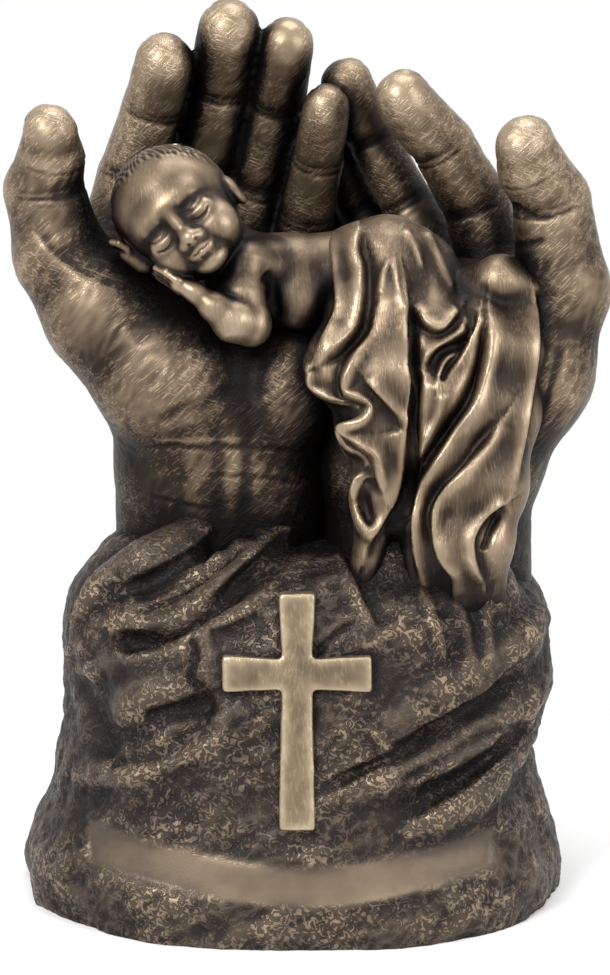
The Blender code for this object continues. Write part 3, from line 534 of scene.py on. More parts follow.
@dataclass
class Skin:
    """A closed skin that is drawn onto a form and then worked.

    Attributes:
        name: The piece's name.
        form: The form that the skin is drawn onto.
        voxel: The skin's first mesh size in millimetres. It is halved once.
        body: The object that holds it.
        corners: The corners of its box before it is worked.
    """

    name: str
    form: Form
    voxel: float
    body: bpy.types.Object = field(init=False)
    corners: Array = field(init=False)

    def __post_init__(self) -> None:
        """Wraps the rough forms in one skin and draws it onto the form."""
        shape = bmesh.new()
        self.form.add_to(shape)
        bmesh.ops.recalc_face_normals(shape, faces=shape.faces)
        rough = bpy.data.meshes.new(self.name)
        shape.to_mesh(rough)
        shape.free()
        self.body = bpy.data.objects.new(self.name, rough)
        bpy.context.scene.collection.objects.link(self.body)
        self.wrap()
        self.settle(4, self.voxel)
        self.wrap()
        self.settle(2, self.voxel)
        points, _ = points_and_normals(self.mesh)
        self.corners = np.array((points.min(0), points.max(0)))

    @property
    def mesh(self) -> bpy.types.Mesh:
        """The skin's mesh."""
        return self.body.data

    def bake(self) -> None:
        """Makes the object's modifiers part of its mesh."""
        bpy.context.view_layer.update()
        graph = bpy.context.evaluated_depsgraph_get()
        made = bpy.data.meshes.new_from_object(self.body.evaluated_get(graph))
        self.body.modifiers.clear()
        self.body.data = made

    def wrap(self) -> None:
        """Gives the skin one even mesh and removes every loose shell inside it."""
        even = self.body.modifiers.new("even", "REMESH")
        even.mode = "VOXEL"
        even.voxel_size = self.voxel
        self.bake()
        neighbours = Neighbours(self.mesh)
        shell = np.arange(len(self.mesh.vertices))
        while True:
            joined = shell.copy()
            np.minimum.at(joined, neighbours.here, shell[neighbours.there])
            joined = joined[joined]
            if (joined == shell).all():
                break
            shell = joined
        largest = np.bincount(shell).argmax()
        shape = bmesh.new()
        shape.from_mesh(self.mesh)
        loose = [vert for vert, number in zip(shape.verts, shell) if number != largest]
        bmesh.ops.delete(shape, geom=loose, context="VERTS")
        shape.to_mesh(self.mesh)
        shape.free()

    def settle(self, rounds: int, step: float) -> None:
        """Draws the skin onto its form and keeps its vertices evenly spread.

        Args:
            rounds: How many times the skin is eased and drawn.
            step: The farthest a vertex goes in one round.
        """
        neighbours = Neighbours(self.mesh)
        for _ in range(rounds):
            points, _ = points_and_normals(self.mesh)
            move(self.mesh, points + (neighbours.mean(points) - points) * 0.5)
            points, normals = points_and_normals(self.mesh)
            gap = np.clip(self.form.distance(points), -step, step)
            move(self.mesh, points - normals * gap[:, None] * 0.85)

    def feel_wash_and_painted_shade(self, whole: Form) -> None:
        """Stores how shut in each place is by the whole statue, from 0 in the open to 1: the dark wash and
        the painted shade that darken the colour there.

        Args:
            whole: The whole statue as one form.
        """
        points, normals = points_and_normals(self.mesh)
        across = np.cross(normals, (0.31, 0.22, 0.93))
        across /= np.linalg.norm(across, axis=1)[:, None] + 1e-9
        along = np.cross(normals, across)
        shut_in_shade = np.zeros(len(points))
        for reach in (NEAR_REACH, FAR_REACH):
            gap = whole.distance(points + normals * reach)
            shut_in_shade += 0.30 * (1.0 - np.clip(gap / reach, 0.0, 1.0))
        for turn in range(4):
            lean = across * math.cos(turn * math.pi / 2) + along * math.sin(turn * math.pi / 2)
            gap = whole.distance(points + (normals * 0.6 + lean * 0.8) * ASIDE_REACH)
            shut_in_shade += 0.10 * (1.0 - np.clip(gap / ASIDE_OPEN, 0.0, 1.0))
        # Stored as the dark wash together with painted shade, which the finish darkens the colour by
        store(self.mesh, "wash_and_painted_shade", shut_in_shade)

    def refine(self) -> None:
        """Halves the mesh size."""
        finer = self.body.modifiers.new("finer", "SUBSURF")
        finer.levels = 1
        finer.render_levels = 1
        self.bake()
        self.settle(2, self.voxel / 2)

    def press(self, lifted: Array) -> None:
        """Moves each point along its normal."""
        points, normals = points_and_normals(self.mesh)
        move(self.mesh, points + normals * lifted[:, None])

    def ease(self, share: float) -> None:
        """Softens the skin a little."""
        points, _ = points_and_normals(self.mesh)
        move(self.mesh, points + (Neighbours(self.mesh).mean(points) - points) * share)

    def feel_relief(self) -> None:
        """Stores how far each place stands out from what is round it, from -1 to 1."""
        points, normals = points_and_normals(self.mesh)
        neighbours = Neighbours(self.mesh)
        relief, eased = np.zeros(len(points)), points
        for step in range(1, max(RELIEF_SHARES) + 1):
            eased = neighbours.mean(eased)
            if step in RELIEF_SHARES:
                out = ((points - eased) * normals).sum(1)
                relief += (out - np.median(out)) / (out.std() + 1e-6) * RELIEF_SHARES[step]
        store(self.mesh, "relief", np.tanh(relief))

    def stand_flat(self) -> None:
        """Cuts the skin off level at the floor."""
        shape = bmesh.new()
        shape.from_mesh(self.mesh)
        cut = bmesh.ops.bisect_plane(shape, geom=[*shape.verts, *shape.edges, *shape.faces], dist=1e-4,
                                     plane_co=(0, 0, 0), plane_no=(0, 0, -1), clear_outer=True)
        rim = [item for item in cut["geom_cut"] if isinstance(item, bmesh.types.BMEdge)]
        bmesh.ops.holes_fill(shape, edges=rim)
        bmesh.ops.recalc_face_normals(shape, faces=shape.faces)
        shape.to_mesh(self.mesh)
        shape.free()

    def finish(self, material: bpy.types.Material, middle: Array) -> bpy.types.Object:
        """Brings the skin to the statue's frame and hands it over.

        Args:
            material: The skin's finish.
            middle: The middle of the statue's outline on X and Y.

        Returns:
            The finished piece, on the statue's one body in place of the solid.
        """
        points, _ = points_and_normals(self.mesh)
        placed = (points - np.array((*middle, 0.0))) * MM
        low, high = (np.array(corner) for corner in CAD_BOX)
        over = max(0.0, float((low - placed).max()), float((placed - high).max())) / MM
        move(self.mesh, np.clip(placed, low, high))
        self.mesh.materials.clear()
        self.mesh.materials.append(material)
        self.mesh.shade_smooth()
        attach(self.body, "root")
        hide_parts("statue")
        count = sum(len(face.vertices) - 2 for face in self.mesh.polygons)
        log.info("%s: %d triangles, %.2f mm taken in", self.name, count, over)
        return self.body


def linear(colour: str) -> tuple[float, float, float, float]:
    """Turns an sRGB hex colour into linear values with full alpha.

    Args:
        colour: The colour, as a hash and six hex digits.

    Returns:
        Red, green, blue and alpha.
    """
    shares = [int(colour[i:i + 2], 16) / 255 for i in (1, 3, 5)]
    red, green, blue = (s / 12.92 if s <= 0.04045 else ((s + 0.055) / 1.055) ** 2.4 for s in shares)
    return red, green, blue, 1.0


def add_node(tree: bpy.types.NodeTree, kind: str, sockets: dict[Any, Any] | None = None,
             **settings: Any) -> bpy.types.Node:
    """Adds a node.

    Args:
        tree: The tree that it goes into.
        kind: The node's type, without the words Shader and Node in front.
        sockets: A value, or another node's output, for each input by name or number.
        **settings: Properties of the node.

    Returns:
        The node.
    """
    made = tree.nodes.new("ShaderNode" + kind)
    for name, value in settings.items():
        setattr(made, name, value)
    for name, value in (sockets or {}).items():
        if isinstance(value, bpy.types.NodeSocket):
            tree.links.new(value, made.inputs[name])
        else:
            made.inputs[name].default_value = value
    return made


def seen_directly(tree: bpy.types.NodeTree) -> bpy.types.NodeSocket:
    """Is 1 for what the camera sees, also in a reflection or through glass, and 0 for light.

    Args:
        tree: The tree that the nodes go into.

    Returns:
        The output that holds the number.
    """
    rays = add_node(tree, "LightPath")
    share: Any = 0.0
    for kind in ("Is Camera Ray", "Is Glossy Ray", "Is Transmission Ray"):
        share = add_node(tree, "Math", {0: rays.outputs[kind], 1: share}, use_clamp=True).outputs[0]
    return share


class Texture(Enum):
    """What the fine surface of a finish shows."""

    SKIN = "fine crossing skin lines"
    ROCK = "worm-like crests in patches"
    SMOOTH = "faint brush marks"


@dataclass(frozen=True)
class ColdCastBronze:
    """Cold-cast bronze: metal powder in resin, stained dark, then rubbed bright where it stands out.

    To the eye that is a warm metal with nearly black hollows and pale worn crests. Sizes of marks
    are in millimetres, and turn_shift, which keeps crossing lines apart, is in metres. The tone starts
    at level and goes up with relief, marks and rubbing, which on the rock also carries a painted
    shadow round the cross. It goes down with the dark wash and the painted shade of shut-in places.
    A ramp from dark to bright gives it its colour.
    """

    name: str
    texture: Texture
    dark: str = "#0f0b09"
    deep: str = "#332a22"
    middle: str = "#7a6955"
    light: str = "#b8a48a"
    bright: str = "#f3ecdf"
    level: float = 0.44
    relief: float = 0.19
    # How far the wash and the painted shade of shut-in places darken the tone
    wash_and_painted_shade: float = 0.80
    mottle: float = 0.12
    # How much rubbing lifts the tone. On the rock the same attribute also darkens a painted shadow round
    # the cross
    rub_and_painted_shadow: float = 0.34
    mark_length: float = 3.6
    mark_width: float = 0.40
    mark_depth: float = 0.055
    mark_tone: float = 0.17
    turn_shift: float = 0.013
    roughness: float = 0.35
    metallic: float = 0.75

    def make(self) -> bpy.types.Material:
        """Makes the material.

        Returns:
            The material.
        """
        material = bpy.data.materials.new(self.name)
        material.use_nodes = True
        tree = material.node_tree
        shader = tree.nodes["Principled BSDF"]
        place = add_node(tree, "TexCoord").outputs["Object"]
        # Rubbed places, and on the rock a painted shadow round the cross, which lowers the tone
        rubbed_and_painted_shadow = add_node(tree, "Attribute", attribute_name="rubbed_and_painted_shadow").outputs["Fac"]
        marked = add_node(tree, "Math", {0: 1.0, 1: rubbed_and_painted_shadow}, operation="SUBTRACT",
                          use_clamp=True).outputs[0]
        marks = add_node(tree, "Math", {0: self.marks(tree, place), 1: marked}, operation="MULTIPLY")
        blotch = add_node(tree, "TexNoise", {"Vector": place, "Scale": 1 / (BLOTCH * MM), "Detail": 5.0})
        # Painted shade: shut-in places are darkened in the colour, and the rubbed attribute also paints the
        # shadow round the cross
        tone = self.sum_up(tree, (
            (add_node(tree, "Attribute", attribute_name="relief").outputs["Fac"], self.relief),
            (add_node(tree, "Attribute", attribute_name="wash_and_painted_shade").outputs["Fac"], -self.wash_and_painted_shade),
            (blotch.outputs["Fac"], self.mottle * 2),
            (marks.outputs[0], self.mark_tone),
            (rubbed_and_painted_shadow, self.rub_and_painted_shadow),
        ), self.level - self.mottle - self.mark_tone * 0.4)
        ramp = add_node(tree, "ValToRGB", {0: tone})
        stops = ramp.color_ramp.elements
        stops[0].color, stops[1].color = linear(self.dark), linear(self.bright)
        for spot, colour in ((0.20, self.deep), (0.46, self.middle), (0.72, self.light)):
            stops.new(spot).color = linear(colour)
        tree.links.new(ramp.outputs["Color"], shader.inputs["Base Color"])
        rough = add_node(tree, "MapRange", {0: tone, 3: self.roughness + 0.16, 4: self.roughness - 0.06})
        sheen = add_node(tree, "Math", {0: rubbed_and_painted_shadow, 1: -0.10, 2: rough.outputs[0]}, operation="MULTIPLY_ADD")
        tree.links.new(sheen.outputs[0], shader.inputs["Roughness"])
        # The powder's own grain is finer. It is drawn as coarse as it needs to show
        powder = add_node(tree, "TexNoise", {"Vector": place, "Scale": 1 / (POWDER * MM), "Detail": 2.0})
        height = self.sum_up(tree, ((marks.outputs[0], 1.0), (powder.outputs["Fac"], 0.10)), 0.0)
        bump = add_node(tree, "Bump", {"Height": height, "Distance": self.mark_depth * MM, "Strength": 1.0})
        tree.links.new(bump.outputs[0], shader.inputs["Normal"])
        shader.inputs["Metallic"].default_value = self.metallic
        return material

    def sum_up(self, tree: bpy.types.NodeTree, parts: Sequence[tuple[bpy.types.NodeSocket, float]],
               start: float) -> bpy.types.NodeSocket:
        """Adds up weighted values.

        Args:
            tree: The material's tree.
            parts: Each value with its weight.
            start: The number that they are added to.

        Returns:
            The sum.
        """
        total: Any = start
        for value, weight in parts:
            total = add_node(tree, "Math", {0: value, 1: weight, 2: total},
                             operation="MULTIPLY_ADD").outputs[0]
        return total

    def marks(self, tree: bpy.types.NodeTree, place: bpy.types.NodeSocket) -> bpy.types.NodeSocket:
        """Makes the pattern of fine marks.

        Args:
            tree: The material's tree.
            place: Object coordinates in metres.

        Returns:
            A height from 0 to 1.
        """
        patch = add_node(tree, "TexNoise", {"Vector": place, "Scale": 1 / (PATCH * MM), "Detail": 2.0})
        if self.texture is Texture.ROCK:
            worms = add_node(tree, "TexNoise", {"Vector": place, "Scale": 1 / (self.mark_length * MM),
                                                "Detail": 1.5, "Roughness": 0.5, "Distortion": 2.2})
            crest = add_node(tree, "MapRange", {0: worms.outputs["Fac"], 1: 0.46, 2: 0.58},
                             interpolation_type="SMOOTHSTEP")
            shown = add_node(tree, "MapRange", {0: patch.outputs["Fac"], 1: 0.34, 2: 0.56, 3: 0.25})
            return add_node(tree, "Math", {0: crest.outputs[0], 1: shown.outputs[0]},
                            operation="MULTIPLY").outputs[0]
        turns = (-0.75, 0.35, 1.2) if self.texture is Texture.SKIN else (1.45, 1.65)
        lines: Any = 0.0
        for number, turn in enumerate(turns):
            size = (self.mark_length * MM, self.mark_width * MM * 2, self.mark_width * MM)
            shift = (self.turn_shift * number, 0.0, 0.0)
            placed = add_node(tree, "Mapping", {"Vector": place, "Rotation": (0.0, turn, 0.0),
                                                "Scale": size, "Location": shift},
                              vector_type="TEXTURE")
            streak = add_node(tree, "TexNoise", {"Vector": placed.outputs[0], "Scale": 1.0, "Detail": 2.0,
                                                 "Distortion": 0.4})
            crisp = add_node(tree, "MapRange", {0: streak.outputs["Fac"], 1: 0.52, 2: 0.66},
                             interpolation_type="SMOOTHSTEP")
            near = 0.34 + 0.12 * number
            shown = add_node(tree, "MapRange", {0: patch.outputs["Fac"], 1: near, 2: near + 0.10})
            fewer = add_node(tree, "Math", {0: crisp.outputs[0], 1: shown.outputs[0]}, operation="MULTIPLY")
            lines = add_node(tree, "Math", {0: fewer.outputs[0], 1: lines}, operation="MAXIMUM").outputs[0]
        return lines


@dataclass(frozen=True)
class Finger:
    """A finger: its root, two joints and tip, a radius at each, and the way its pads face."""

    joints: tuple[Point, ...]
    radii: tuple[float, ...]
    pads: Point
    pad_share: float = 0.16
    blend: float = 0.9

    def form(self) -> Lump:
        """The bones of the finger, with a soft pad between each pair of joints.

        Returns:
            The finger.
        """
        face = Vector(self.pads).normalized()
        parts: list[Form] = [limb(self.joints, self.radii, self.blend)]
        for index in range(len(self.joints) - 1):
            root, tip = (Vector(point) for point in from_rock_top(*self.joints[index:index + 2]))
            radius = (self.radii[index] + self.radii[index + 1]) / 2
            shift = face * radius * self.pad_share
            parts.append(Bone(tuple(root.lerp(tip, 0.3) + shift), tuple(root.lerp(tip, 0.85) + shift),
                              radius * 0.95, radius * 0.92))
        return Lump(tuple(parts), self.blend)

    def creases(self, points: Array, normals: Array) -> Array:
        """Says how far the creases on both sides of the joints sink each point.

        Args:
            points: Places, one in a row.
            normals: The normal at each place.

        Returns:
            The depth at each point in millimetres.
        """
        face = np.array(Vector(self.pads).normalized())
        joints = np.array(from_rock_top(*self.joints))
        sunk = np.zeros(len(points))
        for index in (1, 2):
            along = joints[index + 1] - joints[index - 1]
            along /= np.linalg.norm(along)
            offset = (points - joints[index]) @ along
            aside = np.linalg.norm(points - joints[index] - offset[:, None] * along, axis=1)
            near = np.clip(2.9 - 2.0 * aside / self.radii[index], 0.0, 1.0)
            inner = fade(normals @ face, 0.0, 0.7) * near
            outer = fade(-(normals @ face), 0.2, 0.8) * near
            for shift, depth, width in ((0.0, 0.42, 0.55), (1.8, 0.12, 0.4), (-1.5, 0.10, 0.4)):
                sunk += depth * np.exp(-((offset - shift) / width) ** 2) * inner
            for shift in (-2.6, -1.2, 0.2, 1.7):
                sunk += 0.13 * np.exp(-((offset - shift) / 0.5) ** 2) * outer
        return sunk

    def nail(self, points: Array, normals: Array) -> Array:
        """Says how far the nail lifts each point, with a groove round it.

        Args:
            points: Places, one in a row.
            normals: The normal at each place.

        Returns:
            The lift at each point in millimetres.
        """
        joints = [Vector(point) for point in from_rock_top(*self.joints)]
        along = (joints[3] - joints[2]).normalized()
        back = -Vector(self.pads).normalized()
        back = (back - along * back.dot(along)).normalized()
        across = along.cross(back)
        half = self.radii[3] * 0.66
        away = points - np.array(joints[3] + along * (self.radii[3] * 0.1))
        share = ((np.abs(away @ np.array(across)) / half) ** 4
                 + (np.abs(away @ np.array(along)) / (half * 1.15)) ** 4) ** 0.25
        facing = np.clip(normals @ np.array(back) * 1.6, 0.0, 1.0) * ((away @ np.array(back)) > 0.0)
        plate = 0.16 * np.clip((1.0 - share) / 0.12, 0.0, 1.0)
        rim = 0.34 * np.exp(-((share - 1.04) / 0.11) ** 2)
        return (plate - rim) * facing


@dataclass
class Hand:
    """A hand with its wrist.

    Attributes:
        name: The piece's name.
        wrist: The wrist's form.
        palm_roots: Where the palm's bones start, one for each finger.
        cushions: The ball of the thumb, the heel, the web and the like.
        fingers: The fingers from the index to the little one.
        thumb: The thumb.
        strokes: Creases and tendons drawn on the front.
        palm_thickness: Radius of the palm's bones at the fingers.
        palm_blend: How far the palm's bones and cushions run into each other.
        finger_blend: The same for the fingers side by side.
        knuckle_blend: The same for fingers and palm.
        voxel: First mesh size.
    """

    name: str
    wrist: Form
    palm_roots: tuple[Point, ...]
    cushions: tuple[Form, ...]
    fingers: tuple[Finger, ...]
    thumb: Finger
    strokes: tuple[Stroke, ...] = ()
    palm_thickness: float = 8.0
    palm_blend: float = 7.0
    finger_blend: float = 0.9
    knuckle_blend: float = 4.0
    voxel: float = 1.45

    def form(self) -> Lump:
        """The whole hand as one form.

        Returns:
            The hand.
        """
        palm = tuple(limb((root, one.joints[0]), (self.palm_thickness + 2.0, self.palm_thickness),
                          self.palm_blend) for root, one in zip(self.palm_roots, self.fingers))
        body = Lump((self.wrist, *palm, *self.cushions), self.palm_blend)
        digits = Lump(tuple(one.form() for one in self.fingers), self.finger_blend)
        return Lump((body, self.thumb.form(), digits), self.knuckle_blend)

    def build(self, whole: Form) -> Skin:
        """Makes the hand's skin with its creases and nails.

        Args:
            whole: The whole statue as one form.

        Returns:
            The skin, ready for its finish.
        """
        skin = Skin(self.name, self.form(), self.voxel)
        skin.feel_wash_and_painted_shade(whole)
        skin.refine()
        points, normals = points_and_normals(skin.mesh)
        lifted = sum((stroke.lift(points, normals) for stroke in self.strokes), np.zeros(len(points)))
        for digit in (*self.fingers, self.thumb):
            lifted += digit.nail(points, normals) - digit.creases(points, normals)
        lifted += Grain(9.0, 0.18, 2, 35.0, 1.6).lift(points)
        lifted += Grain(2.4, 0.09, 1, 52.0, 3.5, True).lift(points)
        skin.press(lifted)
        skin.feel_relief()
        return skin

    def dress(self, skin: Skin, middle: Array) -> bpy.types.Object:
        """Gives the hand its rubbed bronze skin."""
        return skin.finish(ColdCastBronze(f"cold_cast_bronze_{self.name}", Texture.SKIN).make(), middle)


def left_hand() -> Hand:
    """The hand on the viewer's left, under the baby's head and chest.

    Returns:
        The hand with its sizes.
    """
    thumb = Finger(((-57, -4, 62), (-60.7, -3, 77.5), (-58.8, -6, 86), (-58.8, -9, 92.4)),
                   (10.2, 9.2, 7.5, 5.8), (0.6, -0.8, 0.1))
    fingers = (
        Finger(((-47, 28, 60), (-42.5, 31, 76.5), (-36.6, 26, 93.5), (-33.4, 20, 105)),
               (8.2, 7.6, 7.1, 6.8), (0.3, -1.0, 0.1)),
        Finger(((-28, 36, 58), (-24, 37, 78), (-20.2, 31, 98), (-18, 22, 112.4)),
               (8.2, 8.0, 8.0, 7.2), (0.15, -1.0, 0.1)),
        Finger(((-16, 38, 55), (-12.2, 37, 72), (-7, 31, 94), (-4.3, 22, 109)),
               (7.6, 7.3, 7.0, 6.3), (0.1, -1.0, 0.1)),
        Finger(((-2.4, 34, 53.5), (0.2, 31, 66), (3.0, 25, 81), (5.1, 17, 94.7)),
               (6.6, 6.5, 6.1, 5.4), (0.0, -1.0, 0.1)),
    )
    strokes = (
        ridge((-38, 20), (-24, 20.8), (-10, 20), (2, 17), width=0.6, height=-0.42),
        ridge((-36, 22), (-24, 22.6), (-12, 22), width=0.5, height=0.22),
        ridge((-24, 14), (-12, 13.4), (0, 10.5), width=0.5, height=-0.28),
        ridge((-37, 8), (-28, 6.6), (-20, 5.4), width=0.5, height=-0.22),
        ridge((-36, 27), (-26, 31), (-14, 34), width=2.0, height=-0.35),
        ridge((-11, 50), (-11.5, 40), (-13, 30), width=2.6, height=-0.6),
        ridge((-20.5, 28), (-20, 16), (-20.5, 4), (-20.5, -6), width=1.8, height=-0.55),
        ridge((-14, 28), (-13.5, 16), (-14, 4), (-14, -6), width=1.8, height=-0.5),
        ridge((-26, 26), (-26, 14), (-26, 2), (-26, -6), width=2.8, height=0.5),
        fold((-63, 70), (-58, 64), (-50, 59), (-42, 56), side=-1.0, width=2.2, height=0.2, valley=0.25),
    )
    cushions = (
        limb(((-21, -4, 22), (-32, -8, 36), (-46.6, -6, 49.5), thumb.joints[0]),
             (17.0, 16.8, 13.2, 10.2), 7.0),
        Ball(*from_rock_top((-3.5, -10, 33)), (12.0, 12.0, 14.0)),
        limb(((-52, 4, 56), (-44, 24, 58)), (8.0, 8.0), 7.0),
        limb(((-30, 8, 46), (-14, 10, 44), (6, 10, 42), (24, 12, 42)), (9.0, 9.0, 9.0, 9.0), 7.0),
    )
    return Hand("left_hand", limb(((-19, 3, -30), (-19, -1, 12)), (26.0, 26.0), 7.0, 0.74),
                ((-32, 4, 14), (-24, 6, 14), (-14, 6, 14), (-5, 4, 14)), cushions, fingers, thumb, strokes)


def right_hand() -> Hand:
    """The hand on the viewer's right, under the cloth.

    Returns:
        The hand with its sizes.
    """
    thumb = Finger(((60, -4, 54), (57.4, -6, 75.5), (52.2, -10, 84), (50.6, -12, 89.4)),
                   (10.6, 8.8, 7.8, 6.6), (-0.6, -0.8, 0.1))
    fingers = (
        Finger(((46.5, 14, 52.5), (41, 15, 71.5), (32.8, 12, 86), (22.9, 6, 98)),
               (8.2, 7.9, 7.3, 6.6), (-0.6, -0.8, -0.2)),
        Finger(((35, 26, 54), (25, 30, 69.5), (16, 29, 86), (10, 25, 99.3)),
               (7.0, 6.4, 5.9, 6.2), (-0.5, -0.9, -0.1)),
        Finger(((23, 36, 53), (14, 41, 65.5), (8.6, 41, 79), (4.9, 38, 89)),
               (6.6, 6.1, 5.7, 5.3), (-0.4, -0.9, 0.0)),
        Finger(((11, 44, 50), (6.7, 46, 62), (4.2, 46, 72), (2.7, 44, 81)),
               (6.2, 5.8, 5.3, 4.9), (-0.2, -1.0, 0.0)),
    )
    strokes = (
        ridge((47, 76), (52, 73), (57, 73), width=0.8, height=-0.6),
        ridge((46, 62), (50, 66), (56, 68), width=0.8, height=-0.4),
        ridge((52, 20), (56, 32), (59, 44), width=1.2, height=-0.4),
    )
    cushions = (
        limb(((41, -2, 17), (52.5, -4, 35), thumb.joints[0]), (16.0, 14.0, 10.6), 7.0),
        Ball(*from_rock_top((19, -4, 33)), (13.0, 13.0, 15.0)),
        limb(((54, 2, 50), (47, 12, 52)), (9.0, 8.0), 7.0),
        limb(((19, -7, 36), (17, -6, 14), (16, -6, -20)), (12.0, 12.0, 12.0), 7.0),
    )
    return Hand("right_hand", limb(((33, 5, -42), (32.5, 1, 10)), (22.0, 21.0), 7.0, 0.80),
                ((43, 4, 12), (37, 6, 12), (28, 8, 12), (20, 8, 12)), cushions, fingers, thumb, strokes)


@dataclass
class Baby:
    """The sleeping baby: head on its side, arm folded under it, back, and hips under the cloth."""

    halves: Point = (14.2, 15.0, 16.4)
    centre: Point = (-28.8, -12.0, 73.0)
    roll: float = -43.0
    nod: float = -11.0
    blend: float = 2.0
    face_blend: float = 2.2
    voxel: float = 0.72

    @property
    def turn(self) -> Matrix:
        """How the head is turned."""
        roll = Matrix.Rotation(math.radians(self.roll), 3, "Y")
        return roll @ Matrix.Rotation(math.radians(self.nod), 3, "X")

    def head_ball(self, place: Point, radii: Point) -> Ball:
        """An ellipsoid that turns with the head. Its place and radii are shares of the head's.

        Args:
            place: Its middle.
            radii: Its radii.

        Returns:
            The ellipsoid.
        """
        local = Vector([share * half for share, half in zip(place, self.halves)])
        middle = Vector(from_rock_top(self.centre)[0]) + self.turn @ local
        size = tuple(share * half for share, half in zip(radii, self.halves))
        return Ball(tuple(middle), size, tuple(self.turn.to_euler()))

    def in_pair(self, place: Point, radii: Point) -> tuple[Ball, Ball]:
        """The same ellipsoid on both sides of the head."""
        x, y, z = place
        return self.head_ball((x, y, z), radii), self.head_ball((-x, y, z), radii)

    def head(self) -> Lump:
        """The head on a child's proportions: the closed eyes lie below its middle.

        Returns:
            The head.
        """
        skull = self.head_ball((0.0, 0.06, 0.16), (0.97, 0.98, 0.87))
        lower_face = self.head_ball((0.0, -0.14, -0.38), (0.78, 0.80, 0.62))
        cheeks = self.in_pair((0.40, -0.56, -0.46), (0.38, 0.34, 0.36))
        brow = self.head_ball((0.0, -0.60, 0.12), (0.62, 0.36, 0.26))
        chin = self.head_ball((0.0, -0.70, -0.83), (0.28, 0.20, 0.16))
        nose = self.head_ball((0.0, -0.96, -0.42), (0.14, 0.14, 0.12))
        wings = self.in_pair((0.13, -0.89, -0.46), (0.10, 0.10, 0.08))
        bridge = self.head_ball((0.0, -0.86, -0.22), (0.13, 0.12, 0.26))
        mouth = self.head_ball((0.0, -0.885, -0.65), (0.21, 0.11, 0.09))
        ears = self.in_pair((0.92, 0.02, -0.26), (0.12, 0.20, 0.26))
        lids = self.in_pair((0.37, -0.77, -0.21), (0.24, 0.13, 0.14))
        sockets = self.in_pair((0.36, -1.06, -0.17), (0.27, 0.20, 0.15))
        face = Lump((skull, lower_face, brow, *cheeks, chin), self.face_blend)
        hollowed = Hollowed(face, sockets, self.face_blend * 1.5)
        features = Lump((hollowed, bridge, nose, mouth, *lids), self.face_blend * 0.8)
        return Lump((features, *wings, *ears), self.face_blend / 2)

    def small_fingers(self, root: Point, tip: Point, spread: Point, radius: float) -> Lump:
        """Four small bent fingers side by side.

        Args:
            root: Where the first starts.
            tip: Where the first ends.
            spread: From one to the next.
            radius: Their radius at the root.

        Returns:
            The fingers as one form.
        """
        made = []
        for number in range(4):
            start = Vector(root) + Vector(spread) * number
            end = Vector(tip) + Vector(spread) * number * 0.85
            knuckle = start.lerp(end, 0.5) + Vector((0.0, -0.5, 0.4))
            made.append(limb((start, knuckle, end), (radius, radius * 0.92, radius * 0.72), 0.3))
        return Lump(tuple(made), 0.3)

    def form(self) -> Lump:
        """The whole baby as one form.

        Returns:
            The baby.
        """
        trunk = limb(((-14, -6, 58.5), (-4, -6, 57), (6, -5, 57.5), (17, -5, 59.5)),
                     (9.6, 10.6, 10.0, 10.6), self.blend)
        neck = limb(((-25, -8, 70), (-15, -6, 61)), (7.0, 7.5), self.blend)
        shoulder = Ball(*from_rock_top((-11, -12, 60.5)), (7.8, 6.6, 7.0))
        upper_arm = limb(((-14.2, -15.5, 61.5), (-14.4, -20, 55.5), (-12.4, -22.6, 50.2)),
                         (6.4, 5.0, 4.9), self.blend)
        forearm = limb(((-12.4, -23.2, 49.2), (-16.4, -25, 50.8), (-20.8, -26, 54.2), (-25, -25.6, 57.4)),
                       (4.9, 4.7, 3.0, 1.9), self.blend)
        near_palm = limb(((-25, -25.6, 57.4), (-28.4, -24.8, 59.3)), (2.1, 2.2), self.blend)
        near_fingers = self.small_fingers((-29, -26.4, 60.2), (-34, -23.6, 62.6), (0.2, 1.0, -1.0), 0.95)
        far_palm = limb(((-37, -14.5, 63), (-40, -15, 65)), (3.2, 2.6), self.blend)
        far_fingers = self.small_fingers((-40.6, -17.2, 66.2), (-44.2, -16.4, 67.4), (0.1, 1.6, -0.5), 1.05)
        side = Ball(*from_rock_top((-1.2, -10.5, 53.5)), (7.4, 8.2, 8.6))
        body = Lump((trunk, neck, shoulder, side), self.blend)
        arm = Lump((Lump((forearm, near_palm), self.blend), near_fingers), 0.8)
        far_hand = Lump((far_palm, far_fingers), 0.8)
        return Lump((self.head(), Lump((body, upper_arm), self.blend), arm, far_hand), 0.5)

